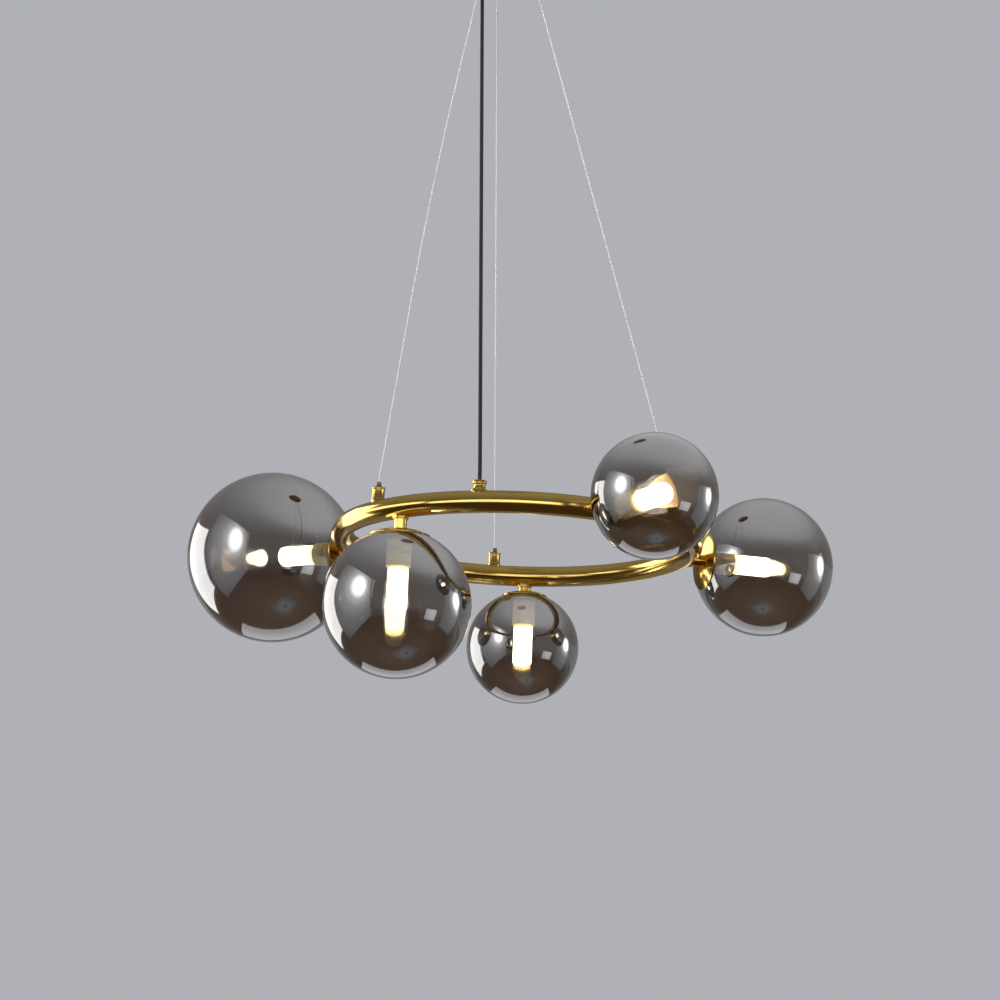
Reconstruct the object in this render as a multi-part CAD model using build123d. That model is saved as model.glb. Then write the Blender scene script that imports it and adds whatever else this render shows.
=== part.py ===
from build123d import *

import os
from math import cos, pi, radians, sin, sqrt, tan

# Orb chandelier: a brass tube ring on three steel wires, with five mirrored smoke-glass
# globes on short stems, each round a lit two-pin capsule bulb.
# Millimetres. Origin: centre of the ceiling bracket's upper face. +Z up, the viewer at -Y.

# Ceiling cup and bracket
CANOPY_DIAMETER = 120.0
CANOPY_HEIGHT = 28.0
CANOPY_WALL = 1.2
CANOPY_EDGE_RADIUS = 4.0
BRACKET_THICKNESS = 1.5
BRACKET_WIDTH = 20.0
BRACKET_TAB_HEIGHT = 14.0
BRACKET_BEND_RADIUS = 1.35
FIXING_SPACING = 60.0
FIXING_SLOT_WIDTH = 5.2
FIXING_SLOT_LENGTH = 14.0
SUPPLY_HOLE_DIAMETER = 10.0
CUP_SCREW_DIAMETER = 4.0
CUP_SCREW_HEIGHT = 8.0
CUP_SCREW_HEAD_DIAMETER = 8.0
CUP_SCREW_HEAD_LENGTH = 4.5
CUP_SCREW_HEAD_EDGE = 1.2
CUP_SCREW_TIP = 1.5
EARTH_SCREW_DIAMETER = 4.0
EARTH_SCREW_HEAD_DIAMETER = 7.0
EARTH_SCREW_HEAD_LENGTH = 2.6
EARTH_SCREW_SLOT_WIDTH = 1.0
EARTH_SCREW_SLOT_DEPTH = 0.8
EARTH_SCREW_SPACING = 15.0

# Terminal block under the bracket
BLOCK_LENGTH = 26.0
BLOCK_WIDTH = 15.0
BLOCK_HEIGHT = 11.0
BLOCK_X = 14.5
BLOCK_EDGE = 1.5
POLE_PITCH = 8.0
POLE_HOLE_DIAMETER = 3.2
POLE_HOLE_DEPTH = 5.0
POLE_HOLE_DROP = 5.5
CLAMP_SCREW_DIAMETER = 3.6
CLAMP_SCREW_LENGTH = 3.6
CLAMP_SCREW_INSET = 3.5
CLAMP_SCREW_SLOT_WIDTH = 0.8
CLAMP_SCREW_SLOT_DEPTH = 0.6
BLOCK_SCREW_DIAMETER = 3.0
BLOCK_SCREW_HEAD_DIAMETER = 5.0
BLOCK_SCREW_HEAD_LENGTH = 2.0
CORE_DIAMETER = 1.5
CORE_BEND_RADIUS = 3.0
CORE_RISE = 4.0
CORE_RUN_IN = 9.0
CORE_SEAT = 3.0
EARTH_RUN_IN = 6.0

# Suspension: drop, wires and power cord
SUSPENSION_DROP = 530.0
RING_OFFSET_X = 30.5
RING_OFFSET_Y = -10.0
WIRE_DIAMETER = 1.2
WIRE_OUTLET_RADIUS = 24.0
WIRE_OUTLET_BEARING = 225.5
WIRE_OUTLET_TURN = 120.0
WIRE_RING_BEARINGS = {"a": 219.7, "b": 97.6, "c": 330.3}
WIRE_BOWS = {"a": (0.55, -6.5), "b": None, "c": None}
WIRE_NIPPLE_DIAMETER = 8.0
WIRE_NIPPLE_LENGTH = 6.0
WIRE_NIPPLE_RIM_HEIGHT = 2.0
WIRE_NIPPLE_TIP_WALL = 1.2
WIRE_NIPPLE_THREAD = 6.0
WIRE_NIPPLE_THREAD_SHOWN = 1.2
WIRE_NIPPLE_NUT = 9.0
WIRE_NIPPLE_NUT_THICKNESS = 3.0
WIRE_BORE_DIAMETER = 2.6
WIRE_STOP_DIAMETER = 3.8
WIRE_STOP_LENGTH = 6.0
WIRE_END_LIFT = 0.8
WIRE_BEND_REACH = 1.6
CORD_DIAMETER = 3.2
CORD_OUTLET_RADIUS = 19.6
CORD_OUTLET_TURN = 45.5
CORD_BORE_DIAMETER = 4.4
CORD_RING_BEARING = 257.8
CORD_TAIL = 3.0
CORD_BEND_REACH = 4.8
GLAND_FLANGE_DIAMETER = 14.0
GLAND_FLANGE_THICKNESS = 1.6
GLAND_FLANGE_CONE = 0.8
GLAND_DIAMETER = 11.0
GLAND_LENGTH = 8.0
GLAND_TIP_EDGE = 1.5
GLAND_THREAD = 8.0
GLAND_THREAD_SHOWN = 1.0
GLAND_NUT = 13.0
GLAND_NUT_THICKNESS = 4.0
ROUTE_ARC_SHARE = 0.45

# Ring
RING_RADIUS = 148.0
RING_TUBE_DIAMETER = 18.0
RING_TUBE_WALL = 1.2
SPIGOT_REACH = 1.0
SPIGOT_OVERLAP = 0.5
SADDLE_SPAN = 16.0
HARNESS_DIAMETER = 4.5
HARNESS_LAY_ANGLE = 48.0
LAMP_LEAD_DIAMETER = 3.2
LAMP_LEAD_BEND_RADIUS = 2.0
LAMP_LEAD_DROP = 1.3

# Cord inlet on the ring
INLET_HEIGHT = 8.0
INLET_BASE_DIAMETER = 14.0
INLET_NECK_DIAMETER = 9.6
INLET_RIM_DIAMETER = 11.6
INLET_RIM_HEIGHT = 2.6
INLET_RIM_CONE = 0.8
INLET_RIM_EDGE = 0.5
INLET_BASE_HEIGHT = 1.4

# Wire gripper on the ring
GRIPPER_HEIGHT = 11.0
GRIPPER_DIAMETER = 10.4
GRIPPER_RIM_DIAMETER = 11.4
GRIPPER_RIM_HEIGHT = 1.4
GRIPPER_FOOT_HEIGHT = 1.0
GRIPPER_STEP = 0.6
GRIPPER_EDGE = 0.4
GRIPPER_SPIGOT_DIAMETER = 6.0
GRIPPER_ROOF = 2.4
PLUNGER_DIAMETER = 4.8
PLUNGER_REACH = 4.4
PLUNGER_EDGE = 0.6
PLUNGER_COLLAR_DIAMETER = 6.4
PLUNGER_COLLAR_HEIGHT = 1.5
PLUNGER_TRAVEL = 2.0
SPRING_CLOSED_LENGTH = 1.4
SPRING_WALL = 1.0

# Lamps: the hanging ones point down from the ring, the others straight out of it
LAMP_BEARINGS = {"left": 153.5, "front_left": 230.6, "rear": 86.6, "front_right": 299.5, "right": 17.4}
GLOBE_DIAMETERS = {"left": 150.0, "front_left": 120.0, "rear": 100.0, "front_right": 100.0, "right": 120.0}
STEM_LENGTHS = {"left": 7.0, "front_left": 9.2, "rear": 4.8, "front_right": 7.0, "right": 7.0}
CAP_RADII = {"left": 25.0, "front_left": 25.0, "rear": 20.0, "front_right": 20.0, "right": 25.0}
HANGING_LAMPS = ("front_left", "rear")
STEM_DIAMETER = 10.4
STEM_BORE_DIAMETER = 6.4
STEM_FLANGE_DIAMETER = 13.0
STEM_FLANGE_THICKNESS = 1.3
STEM_FLANGE_EDGE = 0.4
STEM_SPIGOT_DIAMETER = 8.0
STEM_THREAD_LENGTH = 5.0
GLOBE_WALL = 2.0
GLOBE_MOUTH_DIAMETER = 25.0
CAP_WALL = 1.0
CAP_COLLAR_WALL = 1.9
CAP_COLLAR_LENGTH = 9.0
HOLDER_DIAMETER = 20.0
HOLDER_LENGTH = 29.0
HOLDER_EDGE = 0.8
HOLDER_RECESS_DEPTH = 7.0
HOLDER_GROOVE = 0.5
HOLDER_GROOVE_WIDTH = 1.6
HOLDER_GROOVE_PITCH = 4.0
HOLDER_GROOVES = 3
BULB_DIAMETER = 16.6
BULB_VISIBLE_LENGTH = 35.0
BULB_WALL = 1.0
BULB_END_RADIUS = 3.5
BULB_BASE_DIAMETER = 15.8
BULB_BASE_PLUG = 4.0
PIN_DIAMETER = 1.8
PIN_SPACING = 9.0
PIN_LENGTH = 8.0
PIN_ROOM = 1.0
LEAD_ROOM = 1.0

# Clearances
FIT = 0.02
THREAD_FIT = 0.05
RUNNING_FIT = 0.08
GAP = 0.3
GLUE_GAP = 0.1
SOFT_GAP = 0.1
CUT_MARGIN = 1.0
FULL_TURN = 360.0

# Derived places
WIRE_OUTLET_BEARINGS = {
    "a": WIRE_OUTLET_BEARING,
    "b": WIRE_OUTLET_BEARING - WIRE_OUTLET_TURN,
    "c": WIRE_OUTLET_BEARING + WIRE_OUTLET_TURN,
}
CUP_FLOOR = CANOPY_WALL - CANOPY_HEIGHT
RING_Z = -CANOPY_HEIGHT - SUSPENSION_DROP
RING_CENTRE = Vector(RING_OFFSET_X, RING_OFFSET_Y, RING_Z)
TUBE_RADIUS = RING_TUBE_DIAMETER / 2
TUBE_BORE_RADIUS = TUBE_RADIUS - RING_TUBE_WALL
SPIGOT_START = TUBE_BORE_RADIUS - SPIGOT_REACH
PLUNGER_TOP = TUBE_RADIUS + GRIPPER_HEIGHT + PLUNGER_REACH
INLET_TOP = TUBE_RADIUS + INLET_HEIGHT
FOOT_START = TUBE_RADIUS / 2
EARTH_SCREW_X = -FIXING_SPACING / 2 - EARTH_SCREW_SPACING


def ring_point(bearing, height=0.0, outward=0.0):
    """A point over the ring's centreline, at a bearing in degrees from +X."""
    reach = RING_RADIUS + outward
    turn = radians(bearing)
    return RING_CENTRE + Vector(reach * cos(turn), reach * sin(turn), height)


def polar(radius, bearing, height):
    """A point below the ceiling cup's axis."""
    turn = radians(bearing)
    return Vector(radius * cos(turn), radius * sin(turn), height)


def cord_outlet():
    """The place of the cord's outlet in the cup, beside the first wire's."""
    return polar(CORD_OUTLET_RADIUS, WIRE_OUTLET_BEARING - CORD_OUTLET_TURN, 0)


def rod(diameter, low, high):
    """A cylinder on the Z axis from low to high."""
    return Pos(0, 0, (low + high) / 2) * Cylinder(diameter / 2, high - low)


def turned(points):
    """A solid turned about Z from a closed outline of (radius, height) points."""
    outline = Polyline(*[(radius, 0, height) for radius, height in points], close=True)
    return revolve(make_face(outline), Axis.Z)


def hexagon_nut(across_flats, thickness, bore, low):
    """A hexagon nut on Z, its lower face at low."""
    flats = extrude(RegularPolygon(across_flats / 2, 6, major_radius=False), thickness)
    return Pos(0, 0, low) * flats - rod(bore, low - CUT_MARGIN, low + thickness + CUT_MARGIN)


def ring_sector(outside, inside, start, span):
    """A stretch of the ring between two bearings: tubular, or solid where inside is 0."""
    section = Circle(outside / 2)
    if inside:
        section -= Circle(inside / 2)
    frame = Plane(origin=(RING_RADIUS, 0, 0), x_dir=(1, 0, 0), z_dir=(0, -1, 0))
    stretch = revolve(frame * section, Axis.Z, revolution_arc=span)
    return Pos(*RING_CENTRE) * Rot(0, 0, start) * stretch


def upright(bearing):
    """The frame of a fitting that stands on top of the ring, its origin on the centreline."""
    return Plane(origin=ring_point(bearing), x_dir=(1, 0, 0), z_dir=(0, 0, 1))


def lamp_frame(name):
    """The frame of a lamp: origin on the ring's centreline, +Z along the lamp, away from the tube."""
    bearing = LAMP_BEARINGS[name]
    turn = radians(bearing)
    along = (0, 0, -1) if name in HANGING_LAMPS else (cos(turn), sin(turn), 0)
    return Plane(origin=ring_point(bearing), x_dir=(-sin(turn), cos(turn), 0), z_dir=along)


def globe_start(name):
    """Where along the lamp its globe starts, from the tube's centreline."""
    return TUBE_RADIUS + STEM_LENGTHS[name] + CAP_WALL + GLUE_GAP


def holder_start(name):
    """Where along the lamp its holder starts, from the tube's centreline."""
    return globe_start(name) + GLUE_GAP + GAP + CAP_WALL


# ---- ceiling cup and what it holds ----


def cup_floor_hole(thread):
    """The cutter of a hole through the cup's floor that clears a thread."""
    return rod(thread + 2 * THREAD_FIT, -CANOPY_HEIGHT - CUT_MARGIN, CUP_FLOOR + CUT_MARGIN)


def canopy_cup():
    """The spun cup, open to the ceiling, with holes for the cord, wires and side screws."""
    radius = CANOPY_DIAMETER / 2
    body = Pos(0, 0, -CANOPY_HEIGHT / 2) * Cylinder(radius, CANOPY_HEIGHT)
    body = fillet(body.edges().sort_by(Axis.Z)[0], CANOPY_EDGE_RADIUS)
    depth = -CUP_FLOOR
    hollow = Pos(0, 0, -depth / 2) * Cylinder(radius - CANOPY_WALL, depth)
    hollow = fillet(hollow.edges().sort_by(Axis.Z)[0], CANOPY_EDGE_RADIUS - CANOPY_WALL)
    cup = body - hollow
    for bearing in WIRE_OUTLET_BEARINGS.values():
        cup -= Pos(*polar(WIRE_OUTLET_RADIUS, bearing, 0)) * cup_floor_hole(WIRE_NIPPLE_THREAD)
    cup -= Pos(*cord_outlet()) * cup_floor_hole(GLAND_THREAD)
    side_hole = Cylinder(CUP_SCREW_DIAMETER / 2 + GAP, CANOPY_DIAMETER + 2 * CUT_MARGIN)
    return cup - Pos(0, 0, -CUP_SCREW_HEIGHT) * Rot(0, 90, 0) * side_hole


def bracket_tab_face():
    """How far out the bracket's tabs reach: their corners clear the cup's wall."""
    bore = CANOPY_DIAMETER / 2 - CANOPY_WALL
    return sqrt(bore**2 - (BRACKET_WIDTH / 2) ** 2) - GAP


def strap_hole(diameter):
    """The cutter of a round hole through the bracket's strap."""
    return rod(diameter, -BRACKET_THICKNESS - CUT_MARGIN, CUT_MARGIN)


def ceiling_bracket():
    """A pressed strap with two slots for the ceiling screws and a bent tab at each end."""
    reach = bracket_tab_face()
    strap = Pos(0, 0, -BRACKET_THICKNESS / 2) * Box(2 * reach, BRACKET_WIDTH, BRACKET_THICKNESS)
    for side in (-1, 1):
        tab = Box(BRACKET_THICKNESS, BRACKET_WIDTH, BRACKET_TAB_HEIGHT)
        strap += Pos(side * (reach - BRACKET_THICKNESS / 2), 0, -BRACKET_TAB_HEIGHT / 2) * tab
    bends = strap.edges().filter_by(Axis.Y).group_by(Axis.Z)[-1]
    strap = fillet(bends, BRACKET_BEND_RADIUS)
    slot = extrude(SlotOverall(FIXING_SLOT_LENGTH, FIXING_SLOT_WIDTH), BRACKET_THICKNESS + 2 * CUT_MARGIN)
    for side in (-1, 1):
        strap -= Pos(side * FIXING_SPACING / 2, 0, -BRACKET_THICKNESS - CUT_MARGIN) * slot
    strap -= strap_hole(SUPPLY_HOLE_DIAMETER)
    strap -= Pos(EARTH_SCREW_X, 0, 0) * strap_hole(EARTH_SCREW_DIAMETER + 2 * THREAD_FIT)
    strap -= Pos(BLOCK_X, POLE_PITCH / 2, 0) * strap_hole(BLOCK_SCREW_DIAMETER + 2 * THREAD_FIT)
    tapped = Cylinder(CUP_SCREW_DIAMETER / 2 + THREAD_FIT, CANOPY_DIAMETER)
    return strap - Pos(0, 0, -CUP_SCREW_HEIGHT) * Rot(0, 90, 0) * tapped


def cup_screws():
    """Two thumb screws through the cup's side into the bracket's tabs."""
    seat = CANOPY_DIAMETER / 2 + FIT
    tip = bracket_tab_face() - BRACKET_THICKNESS - CUP_SCREW_TIP
    head = rod(CUP_SCREW_HEAD_DIAMETER, seat, seat + CUP_SCREW_HEAD_LENGTH)
    head = fillet(head.edges().sort_by(Axis.Z)[-1], CUP_SCREW_HEAD_EDGE)
    screw = head + rod(CUP_SCREW_DIAMETER, tip, seat)
    placed = [Pos(0, 0, -CUP_SCREW_HEIGHT) * Rot(0, side * 90, 0) * screw for side in (-1, 1)]
    return Compound(children=placed)


def earth_screw():
    """The earth screw with its captive washer, from below into the strap."""
    head_low = -BRACKET_THICKNESS - EARTH_SCREW_HEAD_LENGTH
    screw = rod(EARTH_SCREW_DIAMETER, -BRACKET_THICKNESS, -FIT)
    screw += rod(EARTH_SCREW_HEAD_DIAMETER, head_low, -BRACKET_THICKNESS)
    slot = Box(EARTH_SCREW_HEAD_DIAMETER, EARTH_SCREW_SLOT_WIDTH, 2 * EARTH_SCREW_SLOT_DEPTH)
    return Pos(EARTH_SCREW_X, 0, 0) * (screw - Pos(0, 0, head_low) * slot)


def pole_places():
    """The Y of each pole of the terminal block."""
    return [-POLE_PITCH, 0.0, POLE_PITCH]


def block_floor():
    """The height of the block's lower face."""
    return -BRACKET_THICKNESS - BLOCK_HEIGHT


def terminal_block():
    """A three-pole block: a wire hole and a clamping screw on each side of each pole."""
    below = block_floor() - CUT_MARGIN
    block = Box(BLOCK_WIDTH, BLOCK_LENGTH, BLOCK_HEIGHT)
    block = Pos(BLOCK_X, 0, block_floor() + BLOCK_HEIGHT / 2) * block
    block = chamfer(block.edges().filter_by(Axis.Y).group_by(Axis.Z)[0], BLOCK_EDGE)
    well = rod(CLAMP_SCREW_DIAMETER + 2 * THREAD_FIT, below, block_floor() + CLAMP_SCREW_LENGTH + CUT_MARGIN)
    for y in pole_places():
        for side in (-1, 1):
            x = BLOCK_X + side * (BLOCK_WIDTH / 2 - POLE_HOLE_DEPTH / 2)
            hole = Rot(0, 90, 0) * Cylinder(POLE_HOLE_DIAMETER / 2, POLE_HOLE_DEPTH)
            block -= Pos(x, y, -BRACKET_THICKNESS - POLE_HOLE_DROP) * hole
            x = BLOCK_X + side * (BLOCK_WIDTH / 2 - CLAMP_SCREW_INSET)
            block -= Pos(x, y, 0) * well
    fixing = rod(BLOCK_SCREW_DIAMETER + 2 * THREAD_FIT, below, 0)
    fixing += rod(BLOCK_SCREW_HEAD_DIAMETER + 2 * GAP, below, block_floor() + BLOCK_SCREW_HEAD_LENGTH)
    return block - Pos(BLOCK_X, POLE_PITCH / 2, 0) * fixing


def terminal_screws():
    """The six slotted clamping screws of the block."""
    screws = []
    low = block_floor() + GAP
    screw = rod(CLAMP_SCREW_DIAMETER, low, low + CLAMP_SCREW_LENGTH)
    screw -= Pos(0, 0, low) * Box(CLAMP_SCREW_DIAMETER, CLAMP_SCREW_SLOT_WIDTH, 2 * CLAMP_SCREW_SLOT_DEPTH)
    for y in pole_places():
        for side in (-1, 1):
            screws.append(Pos(BLOCK_X + side * (BLOCK_WIDTH / 2 - CLAMP_SCREW_INSET), y, 0) * screw)
    return Compound(children=screws)


def block_screw():
    """The screw that holds the terminal block up to the bracket."""
    seat = block_floor() + BLOCK_SCREW_HEAD_LENGTH
    screw = rod(BLOCK_SCREW_HEAD_DIAMETER, seat - BLOCK_SCREW_HEAD_LENGTH, seat)
    screw += rod(BLOCK_SCREW_DIAMETER, seat, -FIT)
    return Pos(BLOCK_X, POLE_PITCH / 2, 0) * screw


def tube_along(path, diameter):
    """A round tube along a path."""
    section = Plane(origin=path @ 0, z_dir=path % 0) * Circle(diameter / 2)
    return sweep(section, path=path)


def supply_cores():
    """The cord's three cores inside the cup: two to the block and the earth to its screw."""
    start = CUP_FLOOR + GLAND_NUT_THICKNESS + CORD_TAIL + SOFT_GAP
    pole_z = -BRACKET_THICKNESS - POLE_HOLE_DROP
    pole_x = BLOCK_X - BLOCK_WIDTH / 2
    outlet = cord_outlet()
    beside = CORE_DIAMETER / 2 + SOFT_GAP
    routes = []
    for pole_y, side in ((-POLE_PITCH, -1), (0.0, 1)):
        x = outlet.X + CORE_DIAMETER / 2 - SOFT_GAP
        y = outlet.Y + side * beside
        near_pole, in_pole = (pole_x - CORE_RUN_IN, pole_y, pole_z), (pole_x + CORE_SEAT, pole_y, pole_z)
        routes.append([(x, y, start), (x, y, start + CORE_RISE), near_pole, in_pole])
    x = outlet.X - beside
    y = outlet.Y
    clip_x = EARTH_SCREW_X + EARTH_SCREW_HEAD_DIAMETER / 2 + GAP
    clip_z = -BRACKET_THICKNESS - EARTH_SCREW_HEAD_LENGTH / 2
    near_clip, at_clip = (clip_x + EARTH_RUN_IN, 0, clip_z), (clip_x, 0, clip_z)
    routes.append([(x, y, start), (x, y, start + CORE_RISE), near_clip, at_clip])
    cores = [tube_along(FilletPolyline(*route, radius=CORE_BEND_RADIUS), CORE_DIAMETER) for route in routes]
    return Compound(children=cores)


def cord_gland():
    """The cord's flanged gland under the cup, threaded through its floor."""
    neck = GLAND_DIAMETER / 2
    flange = GLAND_FLANGE_DIAMETER / 2
    thread = GLAND_THREAD / 2
    bore = CORD_BORE_DIAMETER / 2
    low = -CANOPY_HEIGHT - GLAND_LENGTH
    high = CUP_FLOOR + GLAND_NUT_THICKNESS + GLAND_THREAD_SHOWN
    outline = [
        (bore, low),
        (neck - GLAND_TIP_EDGE, low),
        (neck, low + GLAND_TIP_EDGE),
        (neck, -CANOPY_HEIGHT - GLAND_FLANGE_THICKNESS - GLAND_FLANGE_CONE),
        (flange, -CANOPY_HEIGHT - GLAND_FLANGE_THICKNESS),
        (flange, -CANOPY_HEIGHT),
        (thread, -CANOPY_HEIGHT),
        (thread, high),
        (bore, high),
    ]
    return Pos(*cord_outlet()) * turned(outline)


def gland_nut():
    """The nut that clamps the gland, inside the cup."""
    nut = hexagon_nut(GLAND_NUT, GLAND_NUT_THICKNESS, GLAND_THREAD + 2 * THREAD_FIT, CUP_FLOOR)
    return Pos(*cord_outlet()) * nut


def at_wire_outlets(solid):
    """A copy of a solid at each wire outlet."""
    places = [polar(WIRE_OUTLET_RADIUS, bearing, 0) for bearing in WIRE_OUTLET_BEARINGS.values()]
    return Compound(children=[Pos(*place) * solid for place in places])


def wire_nipples():
    """Three coned nipples under the cup that the wires leave by."""
    bore = WIRE_BORE_DIAMETER / 2
    thread = WIRE_NIPPLE_THREAD / 2
    edge = WIRE_NIPPLE_DIAMETER / 2
    low = -CANOPY_HEIGHT - WIRE_NIPPLE_LENGTH
    outline = [
        (bore, low),
        (bore + WIRE_NIPPLE_TIP_WALL, low),
        (edge, -CANOPY_HEIGHT - WIRE_NIPPLE_RIM_HEIGHT),
        (edge, -CANOPY_HEIGHT),
        (thread, -CANOPY_HEIGHT),
        (thread, wire_seat()),
        (bore, wire_seat()),
    ]
    return at_wire_outlets(turned(outline))


def wire_nipple_nuts():
    """The nuts that clamp the nipples, inside the cup."""
    bore = WIRE_NIPPLE_THREAD + 2 * THREAD_FIT
    return at_wire_outlets(hexagon_nut(WIRE_NIPPLE_NUT, WIRE_NIPPLE_NUT_THICKNESS, bore, CUP_FLOOR))


def wire_seat():
    """The top of the nipples, where the wires' crimped stops rest."""
    return CUP_FLOOR + WIRE_NIPPLE_NUT_THICKNESS + WIRE_NIPPLE_THREAD_SHOWN


def wire_stops():
    """The crimped ferrules on the wires' upper ends."""
    low = wire_seat()
    high = low + WIRE_STOP_LENGTH
    bore = rod(WIRE_DIAMETER + 2 * FIT, low - CUT_MARGIN, high + CUT_MARGIN)
    return at_wire_outlets(rod(WIRE_STOP_DIAMETER, low, high) - bore)


# ---- suspension ----


def widest_radii(points):
    """The largest arc that the two runs at each corner of a route leave room for."""
    radii = []
    for before, corner, after in zip(points, points[1:], points[2:]):
        run_in = Vector(*corner) - Vector(*before)
        run_out = Vector(*after) - Vector(*corner)
        half_turn = radians(run_in.get_angle(run_out)) / 2
        radii.append(ROUTE_ARC_SHARE * min(run_in.length, run_out.length) / tan(half_turn))
    return radii


def wire_route(name):
    """A wire's route, from inside its gripper up to its stop in the cup."""
    exit_height = -CANOPY_HEIGHT - WIRE_NIPPLE_LENGTH - WIRE_BEND_REACH
    ring_end = ring_point(WIRE_RING_BEARINGS[name], SPIGOT_START + WIRE_END_LIFT)
    ring_exit = ring_point(WIRE_RING_BEARINGS[name], PLUNGER_TOP + WIRE_BEND_REACH)
    cup_exit = polar(WIRE_OUTLET_RADIUS, WIRE_OUTLET_BEARINGS[name], exit_height)
    cup_end = polar(WIRE_OUTLET_RADIUS, WIRE_OUTLET_BEARINGS[name], wire_seat() + WIRE_STOP_LENGTH)
    points = [ring_end, ring_exit]
    if WIRE_BOWS[name]:
        share, sideways = WIRE_BOWS[name]
        points.append(ring_exit + (cup_exit - ring_exit) * share + Vector(sideways, 0, 0))
    return points + [cup_exit, cup_end]


def cord_route():
    """The power cord's route, from inside the ring up into the cup."""
    ring_end = ring_point(CORD_RING_BEARING)
    ring_exit = ring_point(CORD_RING_BEARING, INLET_TOP + CORD_BEND_REACH)
    cup_exit = cord_outlet() + Vector(0, 0, -CANOPY_HEIGHT - GLAND_LENGTH - CORD_BEND_REACH)
    cup_end = cord_outlet() + Vector(0, 0, CUP_FLOOR + GLAND_NUT_THICKNESS + CORD_TAIL)
    return [ring_end, ring_exit, cup_exit, cup_end]


def hung_tube(label, points, diameter):
    """A wire or cord on its route; prints its arcs and tests its volume against its length."""
    radii = widest_radii(points)
    path = FilletPolyline(*points, radius=radii)
    tube = tube_along(path, diameter)
    ideal = pi * (diameter / 2) ** 2 * path.length
    print(label, "length", round(path.length, 1), "radii", [round(r, 1) for r in radii], end=" ")
    print("volume over ideal", round(tube.volume / ideal, 4))
    return tube


# ---- ring ----


def ring_holes():
    """Every drilled hole of the ring, as (bearing, cutter), in order round the ring."""
    stem_hole = rod(STEM_SPIGOT_DIAMETER + 2 * THREAD_FIT, 0, TUBE_RADIUS + CUT_MARGIN)
    gripper_hole = rod(GRIPPER_SPIGOT_DIAMETER + 2 * THREAD_FIT, 0, TUBE_RADIUS + CUT_MARGIN)
    holes = [(bearing, lamp_frame(name) * stem_hole) for name, bearing in LAMP_BEARINGS.items()]
    holes += [(bearing, upright(bearing) * gripper_hole) for bearing in WIRE_RING_BEARINGS.values()]
    holes.append((CORD_RING_BEARING, upright(CORD_RING_BEARING) * stem_hole))
    return sorted(holes, key=lambda hole: hole[0])


def ring_tube():
    """The bent brass tube, drilled for the stems, the cord inlet and the grippers."""
    holes = ring_holes()
    bearings = [bearing for bearing, cutter in holes]
    ends = [(here + after) / 2 for here, after in zip(bearings, bearings[1:] + [bearings[0] + FULL_TURN])]
    starts = [ends[-1] - FULL_TURN] + ends[:-1]
    tube = None
    for (bearing, cutter), start, end in zip(holes, starts, ends):
        stretch = ring_sector(RING_TUBE_DIAMETER, 2 * TUBE_BORE_RADIUS, start, end - start) - cutter
        tube = tube + stretch if tube else stretch
    return tube


def saddled(frame, bearing, outline, spigot_diameter, bore_diameter):
    """A turned fitting whose foot is cut to the tube, with a bored spigot through the wall."""
    tube = ring_sector(RING_TUBE_DIAMETER + 2 * FIT, 0, bearing - SADDLE_SPAN / 2, SADDLE_SPAN)
    fitting = frame * turned(outline) - tube
    top = max(height for radius, height in outline)
    spigot = rod(spigot_diameter, SPIGOT_START, TUBE_RADIUS + SPIGOT_OVERLAP)
    bore = rod(bore_diameter, SPIGOT_START - CUT_MARGIN, top + CUT_MARGIN)
    return fitting + frame * spigot - frame * bore


def cord_inlet():
    """The waisted brass inlet on the ring that the cord enters."""
    base = INLET_BASE_DIAMETER / 2
    neck = INLET_NECK_DIAMETER / 2
    rim = INLET_RIM_DIAMETER / 2
    outline = [
        (0, FOOT_START),
        (base, FOOT_START),
        (base, TUBE_RADIUS),
        (neck, TUBE_RADIUS + INLET_BASE_HEIGHT),
        (neck, INLET_TOP - INLET_RIM_HEIGHT - INLET_RIM_CONE),
        (rim, INLET_TOP - INLET_RIM_HEIGHT),
        (rim, INLET_TOP - INLET_RIM_EDGE),
        (rim - INLET_RIM_EDGE, INLET_TOP),
        (0, INLET_TOP),
    ]
    frame = upright(CORD_RING_BEARING)
    return saddled(frame, CORD_RING_BEARING, outline, STEM_SPIGOT_DIAMETER, CORD_BORE_DIAMETER)


def gripper_levels():
    """Heights above the tube's centreline: the spring chamber's floor and roof, and the body's top."""
    top = TUBE_RADIUS + GRIPPER_HEIGHT
    roof = top - GRIPPER_ROOF
    floor = roof - GAP - PLUNGER_COLLAR_HEIGHT - PLUNGER_TRAVEL - SPRING_CLOSED_LENGTH
    return floor, roof, top


def gripper_body(name):
    """A wire gripper's brass body, bored for its plunger and spring."""
    floor, roof, top = gripper_levels()
    body = GRIPPER_DIAMETER / 2
    rim = GRIPPER_RIM_DIAMETER / 2
    outline = [
        (0, FOOT_START),
        (rim, FOOT_START),
        (rim, TUBE_RADIUS + GRIPPER_FOOT_HEIGHT),
        (body, TUBE_RADIUS + GRIPPER_FOOT_HEIGHT + GRIPPER_STEP),
        (body, top - GRIPPER_RIM_HEIGHT - GRIPPER_STEP),
        (rim, top - GRIPPER_RIM_HEIGHT),
        (rim, top - GRIPPER_EDGE),
        (rim - GRIPPER_EDGE, top),
        (0, top),
    ]
    bearing = WIRE_RING_BEARINGS[name]
    frame = upright(bearing)
    shell = saddled(frame, bearing, outline, GRIPPER_SPIGOT_DIAMETER, WIRE_BORE_DIAMETER)
    shell -= frame * rod(PLUNGER_COLLAR_DIAMETER + 2 * GAP, floor, roof)
    return shell - frame * rod(PLUNGER_DIAMETER + 2 * GAP, floor, top + CUT_MARGIN)


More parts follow.
